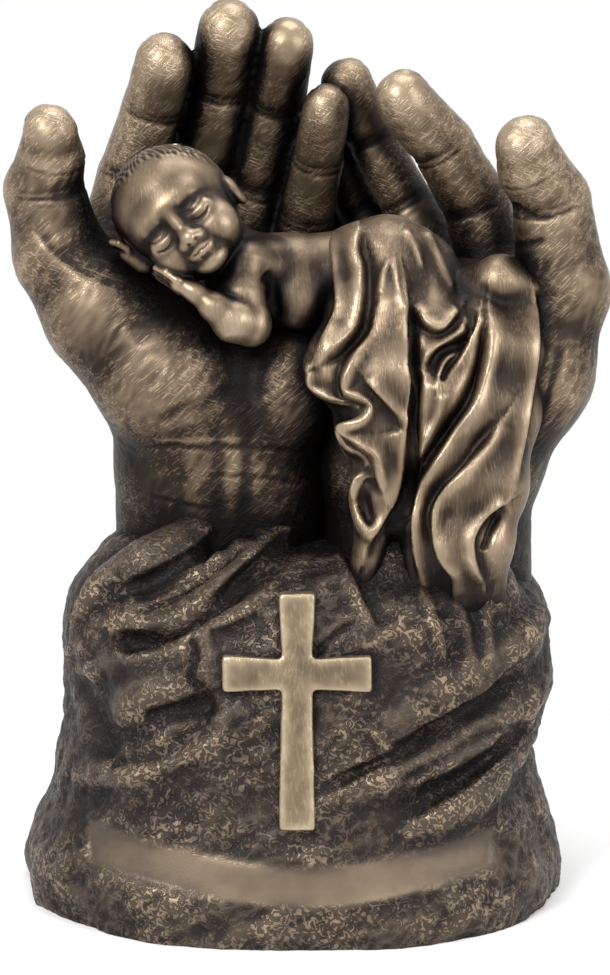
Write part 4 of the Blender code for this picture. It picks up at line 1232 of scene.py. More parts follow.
    def on_head(self, points: Array, normals: Array) -> tuple[Array, Array]:
        """Says how far lids, lips, ears and hair lift each point of the head, and where the hair is.

        Args:
            points: Places, one in a row.
            normals: The normal at each place.

        Returns:
            The lift at each point, and how much hair covers it.
        """
        turn = np.array([list(row) for row in self.turn])
        local = (points - np.array(from_rock_top(self.centre)[0])) @ turn
        faced = normals @ turn
        share = local / np.array(self.halves)
        near = np.clip((1.35 - np.linalg.norm(share, axis=1)) / 0.1, 0.0, 1.0)
        lifted = np.zeros(len(points))
        width, height = self.halves[0], self.halves[2]
        for side in (-1.0, 1.0):
            lid = tuple((side * width * x, height * z) for x, z in
                        ((0.18, -0.245), (0.27, -0.30), (0.38, -0.315), (0.49, -0.295), (0.58, -0.235)))
            upper = tuple((x * 0.99, z + 2.5) for x, z in lid)
            brow = tuple((x * 1.02, z + 5.4) for x, z in lid)
            for line, broad, tall in ((lid, 0.32, -0.42), (upper, 0.40, -0.20), (brow, 1.0, 0.16)):
                lifted += Stroke(line, broad, tall, -4.0).lift(local, faced)
            nostril = ((side * 0.05 * width, -0.50 * height), (side * 0.11 * width, -0.50 * height))
            lifted += Stroke(nostril, 0.35, -0.25, -8.0).lift(local, faced)
            ear = np.array((side * 0.97, 0.02, -0.32))
            bowl = np.linalg.norm((share - ear) / np.array((0.2, 0.12, 0.15)), axis=1)
            lifted -= 0.7 * np.exp(-bowl ** 2)
        lips = tuple((width * x, height * z) for x, z in
                     ((-0.19, -0.635), (-0.09, -0.662), (0.0, -0.648), (0.09, -0.662), (0.19, -0.635)))
        under = tuple((width * x, height * z) for x, z in ((-0.10, -0.752), (0.0, -0.762), (0.10, -0.752)))
        lifted += Stroke(lips, 0.30, -0.42, -8.0).lift(local, faced)
        lifted += Stroke(under, 0.7, -0.25, -8.0).lift(local, faced)
        covered, combed = self.hair(share)
        return (lifted + combed) * near, covered * near

    def hair(self, share: Array) -> tuple[Array, Array]:
        """Says where the short combed hair is and how far it lifts, at shares of the head's halves.

        Args:
            share: Places as shares of the head's halves.

        Returns:
            How much hair covers each point, and its lift.
        """
        unit = share / (np.linalg.norm(share, axis=1)[:, None] + 1e-9)
        height = unit @ np.array((0.1, 0.42, 0.90))
        side = unit @ np.array((1.0, 0.0, -0.11))
        front = unit @ np.array((0.0, -0.91, 0.42))
        around = np.arctan2(side, front)
        wave = np.array([noise.noise(place) for place in (unit * 3.2).tolist()])
        line = 0.14 + 0.32 * np.clip(front, 0.0, 1.0) + 0.05 * np.sin(around * 5.0) + 0.12 * wave
        covered = fade(height - line, -0.02, 0.14)
        strands = (np.sin(around * 52.0 + 7.0 * wave + 5.0 * height)
                   + np.sin(around * 29.0 - 9.0 * wave + 9.0 * height)) * 0.5
        return covered, covered * (0.15 + 0.24 * strands)

    def build(self, whole: Form) -> Skin:
        """Makes the baby's skin with its face, hair and folds.

        Args:
            whole: The whole statue as one form.

        Returns:
            The skin, ready for its finish.
        """
        skin = Skin("baby", self.form(), self.voxel)
        skin.feel_wash_and_painted_shade(whole)
        skin.refine()
        points, normals = points_and_normals(skin.mesh)
        lifted, haired = self.on_head(points, normals)
        store(skin.mesh, "rubbed_and_painted_shadow", -0.4 * haired)
        lifted += Grain(5.0, 0.10).lift(points)
        under_arm = ridge((-9.6, 61), (-7.6, 58.5), (-7.0, 54), (-6.4, 48.6), width=1.3, height=-0.9)
        lifted += under_arm.lift(points, normals)
        skin.press(lifted)
        skin.feel_relief()
        return skin

    def dress(self, skin: Skin, middle: Array) -> bpy.types.Object:
        """Gives the baby its smooth rubbed bronze.

        Args:
            skin: The piece's skin.
            middle: The middle of the statue's outline on X and Y.

        Returns:
            The finished piece.
        """
        finish = ColdCastBronze("cold_cast_bronze_baby", Texture.SMOOTH, level=0.43, relief=0.19,
                                wash_and_painted_shade=0.66, mottle=0.18, mark_length=4.0, mark_width=0.5,
                                mark_depth=0.02, mark_tone=0.04, roughness=0.32)
        return skin.finish(finish.make(), middle)


@dataclass
class Cloth:
    """The cloth: it covers the hips and hangs over the palm in three panels with turned edges."""

    blend: float = 3.5
    hem_blend: float = 1.6
    hem_radius: float = 1.3
    voxel: float = 0.86

    def ground(self) -> Lump:
        """The cloth without its folds.

        Returns:
            The cloth's masses as one form.
        """
        blend = self.blend
        left_front = limb(((12.5, -5, 60), (12.3, -16, 52), (8, -22, 40), (13, -24, 30), (13, -25, 25),
                           (17, -26, 14), (16.5, -27, 4), (13, -27, -9)),
                          (7.6, 7.0, 7.6, 6.2, 5.6, 5.0, 4.2, 3.4), blend)
        left_back = limb(((20, -6, 60), (19, -17, 51), (18, -24, 38), (18.5, -25, 24), (18.5, -27, 12)),
                         (9.0, 8.2, 7.2, 6.2, 5.0), blend)
        middle = limb(((28, -8, 57), (29, -17, 47), (29.5, -22, 34), (28, -25, 20), (26.5, -27, 6),
                       (27, -27, -13)), (7.5, 7.6, 7.4, 6.6, 6.0, 4.0), blend)
        right_inner = limb(((40, -8, 54), (40, -18, 44), (38, -22, 30), (36, -26, 14), (35, -29, 0),
                            (36, -26, -19)), (7.0, 8.0, 8.4, 8.4, 7.2, 4.5), blend)
        right_outer = limb(((49.5, -9, 53), (48, -16, 42), (46, -20, 28), (43, -25, 12), (41, -28, 0),
                            (41.5, -24, -19)), (6.6, 7.4, 8.0, 7.8, 6.6, 4.5), blend)
        over_the_hips = limb(((24, 1, 54), (36, 2, 52), (46, 1, 53)), (8.0, 8.0, 7.0), blend)
        over_the_back = limb(((13.5, -5.5, 59), (19, -5, 60), (26, -3, 58)), (11.2, 11.3, 10.2), blend)
        left = Lump((left_front, left_back, over_the_back), blend)
        between = limb(((25, -8, 57), (25, -17, 46), (25, -21.5, 34), (24, -24, 22), (22.5, -26, 8)),
                       (6.4, 6.9, 6.8, 5.8, 3.6), blend)
        right = Lump((middle, between, right_inner, right_outer, over_the_hips), blend)
        return Lump((left, right), self.hem_blend)

    def form(self) -> Lump:
        """The cloth with its turned hem laid on.

        Returns:
            The cloth.
        """
        ground = self.ground()
        hem = ((1, 40), (2.5, 35.5), (7, 33.5), (13, 32), (11, 28.5), (8, 26), (10, 22.5), (14, 20.5),
               (17, 14))
        flap = ((13.5, 15), (12, 10), (13, 5), (16, 2))
        edges = tuple(laid_on(ground, line, self.hem_radius, 0.5) for line in (hem, flap))
        roll = limb(((39, -10, 55), (45, -11, 57), (51, -10, 55)), (5.0, 6.0, 5.4), self.blend)
        return Lump((ground, roll, *edges), self.hem_blend)

    def strokes(self) -> tuple[Stroke, ...]:
        """The sharp edges of the folds and the valleys beside them.

        Returns:
            The strokes, in the order in which they are worked.
        """
        return (
            fold((6.9, 69), (6.1, 65), (6.9, 60), (7.3, 54), (5.4, 48.5), (2.6, 43.5), side=1.0,
                 width=1.8, height=0.9, valley=0.9),
            fold((12.4, 70), (12.1, 65.5), (13.2, 61), (12.5, 53.3), (11, 48.7), (6.5, 44.8), (2.3, 41),
                 side=-1.0, width=3.5, height=1.4, valley=2.2),
            fold((16.1, 53.6), (14.7, 48.3), (11, 43.7), (8.5, 38.3), (9.1, 34.8), (12.9, 33.6),
                 (14.4, 32.1), (12.9, 29.8), (8, 27.8), (8, 25.9), (11.8, 23.2), (15.6, 20.4),
                 (16.8, 15), (18.7, 10.3), side=1.0, width=2.6, height=1.3, valley=1.8),
            fold((12.9, 16.6), (11.4, 13.1), (12.2, 7.6), (14.7, 2.9), side=-1.0, width=1.4, height=1.0),
            fold((22.6, 60.8), (23.3, 54), (23, 46.3), (22.7, 41), (23.5, 36.3), (23.1, 30.2),
                 (22.8, 25.5), (22.4, 17.8), (21, 11.5), (17.9, 5.3), (14.9, 0.5), (13, -5), side=-1.0,
                 width=2.8, height=1.4, valley=1.8),
            fold((13.6, 38.5), (17.8, 33.8), (21.3, 29.2), (22.4, 26.1), side=1.0, width=2.4,
                 height=1.0, valley=1.2),
            fold((25.2, 55), (27.2, 50.4), (31, 48.8), (34, 51.2), (35.6, 52.7), side=1.0, width=1.8,
                 height=1.3),
            fold((26, 40.2), (29.4, 44.1), (33.2, 46.4), (35.8, 48.8), (36.5, 51.9), side=1.0,
                 width=1.6, height=1.2, valley=1.4),
            fold((30.1, 36), (31.6, 41.4), (35.4, 44.5), (39.1, 49.9), (40, 53), side=-1.0, width=1.4,
                 height=1.2, valley=1.2),
            fold((42, 53.5), (42, 46.6), (40.6, 38.9), (38.4, 32.7), (33.9, 26.5), (29.4, 19.4),
                 (26.4, 14.8), (24.7, 9.3), (24.4, 4.6), (25, -2.5), (27.3, -10.5), side=1.0, width=3.2,
                 height=1.3, valley=2.2),
            fold((45.1, 28.8), (42.1, 24.2), (37.6, 19.5), (32.3, 14.1), (29.3, 8.6), (29.4, 3.1),
                 (30.9, -2.4), (33.7, -7.1), (34.1, -13.4), side=1.0, width=2.8, height=1.4,
                 valley=2.2),
            fold((46.1, 10.2), (43, 8.6), (40, 5.5), (38.2, 1.6), (39, -3.9), (41, -9.4), side=-1.0,
                 width=2.2, height=1.2, valley=1.5),
            fold((52.4, 57.1), (53.4, 49.5), (53.2, 41.8), (51.4, 30.9), (50, 23.1), (47.9, 13),
                 side=-1.0, width=2.0, height=0.7, valley=1.0),
            ridge((24.6, 57), (24.6, 46.7), (25.2, 39), (24.9, 29.8), (25.2, 22), (24.8, 15),
                  (22.8, 7.1), (19.2, 1.6), width=0.9, height=-1.4),
            ridge((41, 52), (40, 41.8), (36.6, 34), (31.6, 25.5), (27.6, 20), (25.4, 14), width=1.2,
                  height=-2.2),
            ridge((30.8, 37.2), (32.4, 40.4), (35.2, 44.4), (36.6, 48), width=0.9, height=-2.2),
            ridge((45.3, 7.4), (42.5, 3.3), (40.9, -1.6), width=0.9, height=-1.8),
            ridge((19.5, 64), (17.6, 60.1), (16.8, 57), width=0.8, height=0.6),
            ridge((20.2, 64.6), (21, 57.7), (22.6, 52), width=0.7, height=0.6),
            ridge((31.8, 35.4), (30.1, 29.2), (27.1, 22.9), width=1.1, height=0.9),
            ridge((27.3, 70), (29.6, 65.4), (32, 60), (34.3, 55.3), width=0.9, height=0.8),
            ridge((22.6, 70), (25, 66.2), (27, 60.7), width=0.9, height=0.7),
            ridge((0.6, 38.6), (1.4, 35.6), (6.4, 33.4), (12.3, 32.8), width=0.6, height=0.5),
        )

    def build(self, whole: Form) -> Skin:
        """Makes the cloth's skin.

        Args:
            whole: The whole statue as one form.

        Returns:
            The skin, ready for its finish.
        """
        skin = Skin("cloth", self.form(), self.voxel)
        skin.feel_wash_and_painted_shade(whole)
        skin.refine()
        points, normals = points_and_normals(skin.mesh)
        lifted = sum((stroke.lift(points, normals) for stroke in self.strokes()), np.zeros(len(points)))
        skin.press(lifted + Grain(5.0, 0.14, 2, 80.0, 3.0).lift(points))
        skin.ease(0.3)
        points, _ = points_and_normals(skin.mesh)
        # Darker towards the bottom: from 2 mm to 20 mm below the rock's top the tone goes down
        store(skin.mesh, "rubbed_and_painted_shadow", -0.7 * fade(ROCK_TOP - points[:, 2], 2.0, 20.0))
        skin.feel_relief()
        return skin

    def dress(self, skin: Skin, middle: Array) -> bpy.types.Object:
        """Gives the cloth its brushed bronze.

        Args:
            skin: The piece's skin.
            middle: The middle of the statue's outline on X and Y.

        Returns:
            The finished piece.
        """
        finish = ColdCastBronze("cold_cast_bronze_cloth", Texture.SMOOTH, level=0.42, relief=0.24,
                                wash_and_painted_shade=0.62, mark_length=7.0, mark_width=0.45, mark_depth=0.035,
                                mark_tone=0.07, roughness=0.33)
        return skin.finish(finish.make(), middle)


@dataclass(frozen=True)
class RockMass:
    """The rock's mass, by its reach to each side at heights given as shares of its own."""

    height: float = 90.0
    reach_left: float = 67.0
    reach_right: float = 62.0
    reach_front: float = 56.0
    reach_back: float = 51.0
    squareness: float = 2.3
    top_slope: float = 0.13
    top_drop: float = 4.0
    top_rounding: float = 14.0
    left: tuple[Spot, ...] = ((-0.08, 0.97), (0.10, 1.0), (0.23, 0.93), (0.40, 0.88), (0.60, 0.86),
                              (0.78, 0.84), (0.88, 0.76), (0.97, 0.68), (1.08, 0.52))
    right: tuple[Spot, ...] = ((-0.08, 0.97), (0.06, 1.0), (0.17, 0.97), (0.30, 0.91), (0.40, 0.865),
                               (0.46, 0.91), (0.60, 0.96), (0.77, 0.93), (0.87, 0.85), (0.97, 0.70),
                               (1.08, 0.52))
    front: tuple[Spot, ...] = ((-0.08, 0.96), (0.07, 1.0), (0.30, 0.93), (0.56, 0.84), (0.78, 0.75),
                               (0.94, 0.62), (1.08, 0.46))
    back: tuple[Spot, ...] = ((-0.08, 0.95), (0.10, 1.0), (0.40, 0.98), (0.65, 0.93), (0.88, 0.78),
                              (1.08, 0.55))

    @cached_property
    def box(self) -> tuple[Array, Array]:
        """The corners of a box round the rock.

        Returns:
            The low and the high corner.
        """
        top = self.height + self.top_slope * self.reach_left
        return (np.array((-self.reach_left, -self.reach_front, -top)),
                np.array((self.reach_right, self.reach_back, top)))

    def reach(self, side: Sequence[Spot], size: float, heights: Array) -> Array:
        """How far the rock reaches to one side at each height."""
        path = curve_through(side)
        return np.interp(heights / self.height, path[:, 0], path[:, 1]) * size

    def top(self, x: Array | float) -> Array | float:
        """The height of the rock's top, which falls to the right."""
        return self.height - self.top_drop - self.top_slope * x

    def nearness(self, points: Array) -> tuple[Array, Array]:
        """Each point's share of the way from the axis to the side, and the shorter reach there.

        Args:
            points: Places, one in a row.

        Returns:
            The share, which is 1 on the side, and the reach in millimetres.
        """
        x, y, z = points.T
        across = np.where(x < 0, self.reach(self.left, self.reach_left, z),
                          self.reach(self.right, self.reach_right, z))
        deep = np.where(y < 0, self.reach(self.front, self.reach_front, z),
                        self.reach(self.back, self.reach_back, z))
        share = np.abs(x / across) ** self.squareness + np.abs(y / deep) ** self.squareness
        return share ** (1 / self.squareness), np.minimum(across, deep)

    def distance(self, points: Array) -> Array:
        """Distance of each point from the surface, below zero inside.

        Args:
            points: Places, one in a row.

        Returns:
            The distances in millimetres.
        """
        share, reach = self.nearness(points)
        return -smooth_union((1.0 - share) * reach, self.top(points[:, 0]) - points[:, 2],
                             self.top_rounding)

    def add_to(self, shape: bmesh.types.BMesh) -> None:
        """Adds a stack of rings, joined and capped, to a bmesh.

        Args:
            shape: The bmesh that is added to.
        """
        heights = np.linspace(-0.07, 1.0, 14) * self.height
        stack = [bmesh.ops.create_circle(shape, segments=64, radius=1.0)["verts"] for _ in heights]
        for height, ring in zip(heights, stack):
            for vert in ring:
                share, _ = self.nearness(np.array([(vert.co.x, vert.co.y, height)]))
                x, y = vert.co.x / share[0], vert.co.y / share[0]
                vert.co = Vector((x, y, height * self.top(x) / self.height))
        rims = [{edge for vert in ring for edge in vert.link_edges} for ring in stack]
        for low, high in zip(rims, rims[1:]):
            bmesh.ops.bridge_loops(shape, edges=[*low, *high])
        for ring in (stack[0], stack[-1]):
            bmesh.ops.contextual_create(shape, geom=ring)


@dataclass
class Rock:
    """The rock with its slanting ledges and clefts, worm-like crests and a bare rubbed band."""

    mass: RockMass = field(default_factory=RockMass)
    sink: float = 0.72
    plain_sink: float = 0.75
    ledge_blend: float = 2.5
    voxel: float = 1.47
    band_low: tuple[Spot, ...] = ((-51, 15.5), (-25, 12), (-1, 9.8), (20, 11.5), (44, 15.5))
    band_high: tuple[Spot, ...] = ((-51, 25.5), (-25, 22.5), (-1, 20.2), (20, 21.6), (44, 25))
    band_left: float = -51.0
    band_right: float = 44.0

    def form(self) -> Lump:
        """The rock with its ledges laid on the front and a few plain ones behind.

        Returns:
            The rock.
        """
        ledges = (
            (((-52, -24), (-46, -15), (-36, -7), (-26, -2), (-14, 3)), 5.0),
            (((-54, -30), (-41, -20), (-28, -13), (-14, -5), (-4, 0)), 5.5),
            (((-52, -33), (-39, -27), (-26, -20), (-14, -13)), 4.5),
            (((-40, -38), (-34, -35), (-28, -34)), 8.0),
            (((-52, -57), (-38, -50), (-26, -43), (-15, -36)), 5.5),
            (((16, -41), (28, -34), (40, -29), (55, -22)), 6.0),
            (((12, -55), (26, -48), (40, -43), (54, -38)), 6.0),
            (((24, -63), (38, -58), (52, -50)), 5.0),
        )
        plain_ledges = (
            (((-46, -34), (-20, -22), (8, -12)), 8.0),
            (((-34, -60), (4, -48), (42, -32)), 8.0),
            (((6, -74), (28, -66), (48, -60)), 7.0),
        )
        mounds = (Ball(*from_rock_top((21, -22, -14)), (10.0, 9.0, 15.0)),
                  Ball(*from_rock_top((12, -23, -15)), (8.0, 8.5, 11.0)),
                  Ball(*from_rock_top((30, -22, -21)), (10.0, 11.5, 17.0)),
                  Ball(*from_rock_top((41, -18, -22)), (10.0, 13.0, 18.0)))
        front = tuple(laid_on(self.mass, line, radius, self.sink) for line, radius in ledges)
        behind = tuple(laid_on(self.mass, line, radius, self.plain_sink, -1.0)
                       for line, radius in plain_ledges)
        return Lump((self.mass, *mounds, *front, *behind), self.ledge_blend)

    def strokes(self) -> tuple[Stroke, ...]:
        """The edges of the ledges and the clefts under them.

        Returns:
            The strokes, in the order in which they are worked.
        """
        low = -12.0
        return (
            fold((-43, -10), (-36.6, -7.4), (-28.3, -4.3), (-21.5, 0.3), (-15.4, 4.2), (-8, 8),
                 side=1.0, width=6.0, height=1.8, steep=1.2, valley=2.6, behind=low),
            fold((-45, -20), (-36, -18.6), (-29, -16.3), (-22.2, -11.6), (-15.4, -5.4), (-6.4, 0),
                 side=1.0, width=4.0, height=1.8, steep=1.2, valley=2.6, behind=low),
            fold((-23, -17.8), (-17, -16.3), (-9.4, -12.4), side=1.0, width=3.0, height=0.8, steep=1.0,
                 valley=1.0, behind=low),
            fold((-47.4, -53.7), (-39.8, -51.3), (-30.7, -47.7), (-24.6, -44.2), (-17, -40.2),
                 side=-1.0, width=5.0, height=1.4, steep=1.4, valley=1.8, behind=low),
            fold((3.4, -51.1), (12.5, -47.2), (20.9, -43.6), (27.7, -39.6), (33.7, -37), (41.2, -33.3),
                 (45.7, -30.6), side=1.0, width=5.0, height=1.2, steep=1.1, valley=2.0, behind=low),
            fold((24, -61.5), (31, -58.3), (38.4, -55), (44.5, -51), (51.3, -46.4), (53.5, -41.6),
                 side=-1.0, width=5.0, height=1.8, steep=1.5, valley=2.0, behind=-6.0),
            fold((3.4, -56), (12.5, -50.5), (20, -46.5), side=-1.0, width=4.0, height=1.0, steep=1.4,
                 valley=1.2, behind=low),
            fold((21.7, -54.3), (29.3, -51.1), (36.8, -47.2), (47.4, -44), side=-1.0, width=3.0,
                 height=0.8, steep=1.1, valley=1.2, behind=low),
            ridge((-42, -16), (-30.6, -12.1), (-24.5, -7.4), (-19.2, -3.2), (-12.4, 1.1), width=2.2,
                  height=-2.6, behind=low),
            ridge((-45, -23.3), (-39.7, -22.5), (-32, -19.8), (-27.6, -16.3), (-20, -10.8), width=1.6,
                  height=-2.2, behind=low),
            ridge((-26.8, -19.6), (-25.3, -23.5), (-25.7, -29), (-23, -31.4), width=1.1, height=-1.6,
                  behind=low),
            ridge((-37.5, -39), (-32.2, -37.3), (-26, -35.3), (-20, -33), width=2.0, height=-2.6,
                  behind=low),
            ridge((-31, -43.2), (-26, -39.3), (-21.6, -37), width=1.6, height=-1.4, behind=low),
            ridge((-55.6, -34.8), (-51.4, -38.4), (-48.4, -43.2), (-46, -48.8), (-42.3, -54), width=3.0,
                  height=-1.8, behind=0.0),
            fold((3, 3), (8, -4.3), (12.6, -11.3), (17.2, -19.2), side=-1.0, width=3.0, height=1.0,
                 steep=1.1, valley=1.8, behind=low),
            ridge((19, -44.4), (24.6, -42), (30, -39.6), width=0.8, height=-1.4, behind=low),
            ridge((26, -9), (29, -17), (32, -27), width=1.3, height=1.3, behind=low),
            ridge((34, -12), (37, -20), (38, -29), width=1.3, height=1.2, behind=low),
            ridge((43, -8), (42, -18), (42.5, -27), width=1.2, height=1.1, behind=low),
            ridge((1.9, -24), (5.7, -19.2), (11, -16), width=1.0, height=-1.2, behind=low),
            ridge((3, -21.4), (7, -17.4), (12, -14.6), width=1.0, height=0.9, behind=low),
        )

    def band(self, points: Array) -> Array:
        """How much each point belongs to the bare band low on the front, from 0 to 1.

        Args:
            points: Places, one in a row.

        Returns:
            The share at each point.
        """
        low, high = curve_through(self.band_low), curve_through(self.band_high)
        x, y, z = points.T
        above = z - np.interp(x, low[:, 0], low[:, 1])
        below = np.interp(x, high[:, 0], high[:, 1]) - z
        ends = np.minimum(x - self.band_left, self.band_right - x)
        inside = np.minimum(np.minimum(above, below), ends)
        return fade(inside, -0.9, 1.7) * (y < 0.0)

    def build(self, whole: Form) -> Skin:
        """Makes the rock's skin.

        Args:
            whole: The whole statue as one form.

        Returns:
            The skin, ready for its finish.
        """
        skin = Skin("rock", self.form(), self.voxel)
        skin.feel_wash_and_painted_shade(whole)
        skin.refine()
        points, normals = points_and_normals(skin.mesh)
        band = self.band(points)
        lifted = sum((stroke.lift(points, normals) for stroke in self.strokes()), np.zeros(len(points)))
        calm = np.clip(-lifted / 1.2, 0.0, 1.0)
        crags = Grain(15.0, 1.7, 3, 28.0, 2.2).lift(points)
        crests = Grain(3.0, 0.22, 1, 25.0, 1.5, True).lift(points)
        lifted += (crags + crests * (1.0 - 0.6 * calm)) * (1.0 - 0.95 * band) - 0.30 * band
        skin.press(lifted - 0.25)
        skin.stand_flat()
        points, _ = points_and_normals(skin.mesh)
        # Painted shadow: a thin dark rim on the rock's front round the cross, where the cross casts its
        # shadow
        painted_cross_shadow = np.exp(-(np.maximum(Cross().beside(points), 0.0) / 1.1) ** 2) * (points[:, 1] < 0.0)
        store(skin.mesh, "rubbed_and_painted_shadow", self.band(points) - 0.6 * painted_cross_shadow)
        skin.feel_relief()
        return skin

    def dress(self, skin: Skin, middle: Array) -> bpy.types.Object:
        """Gives the rock its dark, rough bronze.

        Args:
            skin: The piece's skin.
            middle: The middle of the statue's outline on X and Y.

        Returns:
            The finished piece.
        """
        finish = ColdCastBronze("cold_cast_bronze_rock", Texture.ROCK, deep="#29221d", middle="#54493e",
                                light="#8f7d66", bright="#dccdb2", level=0.37, relief=0.17,
                                wash_and_painted_shade=0.55, mottle=0.10, mark_length=2.0, mark_depth=0.45,
                                mark_tone=0.30, roughness=0.44, metallic=0.60)
        return skin.finish(finish.make(), middle)


@dataclass
class Cross:
    """The plain cross, let into the rock and softly worn at its edges."""

    height: float = 54.0
    width: float = 34.0
    bar: float = 7.0
    flare: float = 0.7
    relief: float = 2.2
    root: float = 8.0
    lean: float = 10.0
    foot: float = 27.5
    side: float = -1.8
    arms_at: float = 0.66
    voxel: float = 0.40

    @cached_property
    def box(self) -> tuple[Array, Array]:
        """The corners of a box round the cross.

        Returns:
            The low and the high corner.
        """
        reach = self.height
        middle = np.array((self.side, -44.0, self.foot + self.height * self.arms_at))
        return middle - reach, middle + reach

    def outline(self) -> list[Spot]:
        """The corners from the middle of the crossing, with the four ends a little wider.

        Returns:
            Each corner's X and Z.
        """
        half, wide, side = self.bar / 2, self.bar / 2 + self.flare, self.width / 2
        up, down = self.height * (1 - self.arms_at), self.height * self.arms_at
        right = [(wide, up), (half, half), (side, wide), (side, -wide), (half, -half), (wide, -down)]
        return right + [(-x, z) for x, z in reversed(right)]

    def beside(self, points: Array) -> Array:
        """How far each point is beside the cross, seen from the front.

        Args:
            points: Places, one in a row.

        Returns:
            The distances in millimetres, below zero on the cross.
        """
        x, z = points[:, 0] - self.side, points[:, 2] - self.foot - self.height * self.arms_at
        tall = np.maximum(z - self.height * (1 - self.arms_at), -z - self.height * self.arms_at)
        upright = np.maximum(np.abs(x) - self.bar / 2, tall)
        arms = np.maximum(np.abs(x) - self.width / 2, np.abs(z) - self.bar / 2)
        return np.minimum(upright, arms)

    def place(self) -> Matrix:
        """Where the cross sits on the rock's face.

        Returns:
            The cross's matrix.
        """
        middle = self.foot + self.height * self.arms_at
        front = face_of(RockMass(), np.array([self.side]), np.array([middle]), 1.0)[0] - self.relief
        lean = Matrix.Rotation(-math.radians(self.lean), 4, "X")
        return Matrix.Translation((self.side, front, middle)) @ lean

    def distance(self, points: Array) -> Array:
        """Distance of each point from the surface: none, because the cross keeps its own faces."""
        return np.zeros(len(points))

    def add_to(self, shape: bmesh.types.BMesh) -> None:
        """Adds the cross to a bmesh: its outline pushed back into the rock.

        Args:
            shape: The bmesh that is added to.
        """
        face = shape.faces.new([shape.verts.new((x, 0.0, z)) for x, z in self.outline()])
        made = bmesh.ops.extrude_face_region(shape, geom=[face])["geom"]
        back = [item for item in made if isinstance(item, bmesh.types.BMVert)]
        bmesh.ops.translate(shape, verts=back, vec=(0.0, self.relief + self.root, 0.0))
        bmesh.ops.transform(shape, matrix=self.place(), verts=shape.verts)

    def build(self, whole: Form) -> Skin:
        """Makes the cross, with its edges worn round and its face a little uneven.

        Args:
            whole: The whole statue as one form. It is not used.

        Returns:
            The skin, ready for its finish.
        """
        skin = Skin("cross", self, self.voxel)
        points, _ = points_and_normals(skin.mesh)
        skin.press(Grain(6.0, 0.16, 2).lift(points))
        skin.feel_relief()
        return skin

    def dress(self, skin: Skin, middle: Array) -> bpy.types.Object:
        """Gives the cross its pale rubbed bronze.

        Args:
            skin: The piece's skin.
            middle: The middle of the statue's outline on X and Y.

        Returns:
            The finished piece.
        """
        finish = ColdCastBronze("cold_cast_bronze_cross", Texture.SMOOTH, middle="#84745d",
                                light="#b1a085", bright="#dccdb2", level=0.50, relief=0.20, wash_and_painted_shade=0.0,
                                mottle=0.20, mark_length=2.5, mark_width=0.6, mark_depth=0.03,
                                mark_tone=0.08, roughness=0.36)
        return skin.finish(finish.make(), middle)


@dataclass(frozen=True)
class WhitePaper:
    """Matt white paper: it takes the statue's shadow near it and is plain white farther out.

    Its reaches are in metres from the middle of the floor.
    """

    colour: str = "#fbfbfb"
    shadow_reach: float = 0.085
    white_from: float = 0.17

    def make(self) -> bpy.types.Material:
        """Makes the material.

        Returns:
            The material.
        """
        material = bpy.data.materials.new("matt_white_paper")
        material.use_nodes = True
        tree = material.node_tree
        shader = tree.nodes["Principled BSDF"]
        shader.inputs["Base Color"].default_value = linear(self.colour)
        shader.inputs["Roughness"].default_value = 0.9
        shader.inputs["Specular IOR Level"].default_value = 0.1
        place = add_node(tree, "TexCoord").outputs["Object"]
        away = add_node(tree, "VectorMath", {0: place}, operation="LENGTH").outputs["Value"]
        far = add_node(tree, "MapRange", {0: away, 1: self.shadow_reach, 2: self.white_from},
                       interpolation_type="SMOOTHSTEP").outputs[0]
        share = add_node(tree, "Math", {0: far, 1: seen_directly(tree)}, operation="MULTIPLY").outputs[0]
        white = add_node(tree, "Emission", {"Color": WHITE, "Strength": 1.0}).outputs[0]
        mixed = add_node(tree, "MixShader", {0: share, 1: shader.outputs[0], 2: white})
        tree.links.new(mixed.outputs[0], tree.nodes["Material Output"].inputs["Surface"])
        return material


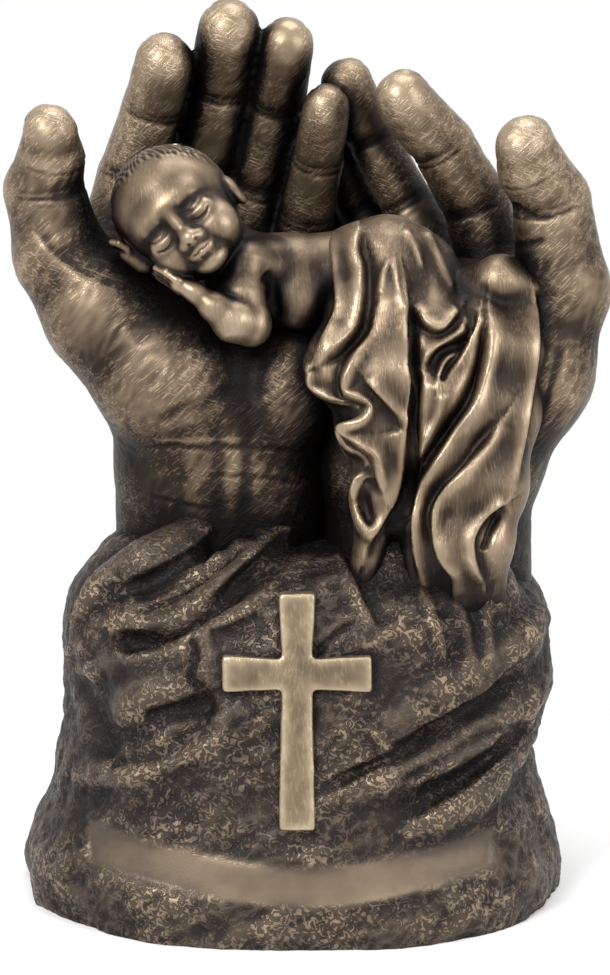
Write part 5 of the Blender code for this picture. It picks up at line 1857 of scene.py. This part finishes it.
@dataclass
class Studio:
    """The pale floor, the soft lights and the camera. Places and sizes here are in metres.

    Attributes:
        eye: Where the camera is, before the statue's outline is brought to the middle.
        pitch: How far the camera looks down, in degrees.
        focal_pixels: The camera's focal length in pixels of the photograph.
        picture_pixels: The photograph's height.
        sensor: The height that Blender's lens is given for, in millimetres.
        floor_half: Half the floor's side.
        surround: Strength of the world as light.
        aim: Where the lamps point.
        lamps: Each lamp's name, place, size and power in watts.
    """

    eye: Point = (0.0, -0.800, 0.275)
    pitch: float = 12.6
    focal_pixels: float = 3452.0
    picture_pixels: float = 975.0
    sensor: float = 36.0
    floor_half: float = 6.0
    surround: float = 0.6
    aim: Point = (0.0, 0.0, 0.11)
    lamps: tuple[tuple[str, Point, float, float], ...] = (
        ("key_lamp", (-0.55, -0.75, 0.75), 0.45, 11.0),
        ("fill_lamp", (0.75, -0.55, 0.45), 0.5, 3.5),
        ("top_lamp", (0.1, 0.15, 1.0), 0.6, 5.0),
    )

    def floor(self) -> bpy.types.Object:
        """Lays the plain pale floor.

        Returns:
            The floor.
        """
        shape = bmesh.new()
        bmesh.ops.create_grid(shape, x_segments=1, y_segments=1, size=self.floor_half)
        mesh = bpy.data.meshes.new("floor")
        shape.to_mesh(mesh)
        shape.free()
        piece = bpy.data.objects.new("floor", mesh)
        bpy.context.scene.collection.objects.link(piece)
        mesh.materials.append(WhitePaper().make())
        return piece

    def lamp(self, name: str, place: Point, size: float, power: float) -> bpy.types.Object:
        """Hangs a soft square lamp that faces the statue.

        Args:
            name: The lamp's name.
            place: Where it hangs.
            size: The length of its side.
            power: Its power in watts.

        Returns:
            The lamp.
        """
        light = bpy.data.lights.new(name, "AREA")
        light.size = size
        light.energy = power
        lamp = bpy.data.objects.new(name, light)
        lamp.location = place
        lamp.rotation_euler = (Vector(self.aim) - Vector(place)).to_track_quat("-Z", "Y").to_euler()
        bpy.context.scene.collection.objects.link(lamp)
        return lamp

    def world(self) -> None:
        """Makes the surround white to the camera and in reflections, and dimmer as light."""
        world = bpy.data.worlds.new("studio")
        bpy.context.scene.world = world
        world.use_nodes = True
        tree = world.node_tree
        tree.nodes.clear()
        dim = add_node(tree, "Background", {"Color": WHITE, "Strength": self.surround})
        white = add_node(tree, "Background", {"Color": WHITE, "Strength": 1.0})
        mixed = add_node(tree, "MixShader",
                         {0: seen_directly(tree), 1: dim.outputs[0], 2: white.outputs[0]})
        add_node(tree, "OutputWorld", {"Surface": mixed.outputs[0]})

    def camera(self, middle: Array) -> bpy.types.Object:
        """Sets up the camera at the photograph's angle.

        Args:
            middle: The middle of the statue's outline on X and Y.

        Returns:
            The camera.
        """
        data = bpy.data.cameras.new("camera")
        data.lens = self.focal_pixels * self.sensor / self.picture_pixels
        data.clip_start = 0.01
        piece = bpy.data.objects.new("camera", data)
        piece.location = Vector(self.eye) - Vector((*middle, 0.0)) * MM
        piece.rotation_euler = (math.radians(90.0 - self.pitch), 0.0, 0.0)
        bpy.context.scene.collection.objects.link(piece)
        bpy.context.scene.camera = piece
        return piece

    def build(self, middle: Array) -> None:
        """Makes the whole studio round the middle of the statue's outline.

        Args:
            middle: The middle of the statue's outline on X and Y.
        """
        self.camera(middle)
        self.floor()
        self.world()
        for name, place, size, power in self.lamps:
            self.lamp(name, place, size, power)
        bpy.context.scene.view_settings.view_transform = "Standard"


def main() -> None:
    """Builds and dresses the statue piece by piece."""
    logging.basicConfig(level=logging.INFO, format="%(name)s: %(message)s")
    parts = (Rock(), left_hand(), right_hand(), Baby(), Cloth(), Cross())
    whole = Lump(tuple(part.form() for part in parts[:5]), 0.5)
    skins = [part.build(whole) for part in parts]
    low, high = (np.array([skin.corners[end] for skin in skins]) for end in (0, 1))
    middle = (low.min(0) + high.max(0))[:2] / 2
    for part, skin in zip(parts, skins):
        part.dress(skin, middle)
    Studio().build(middle)


if __name__ == "__main__":
    main()
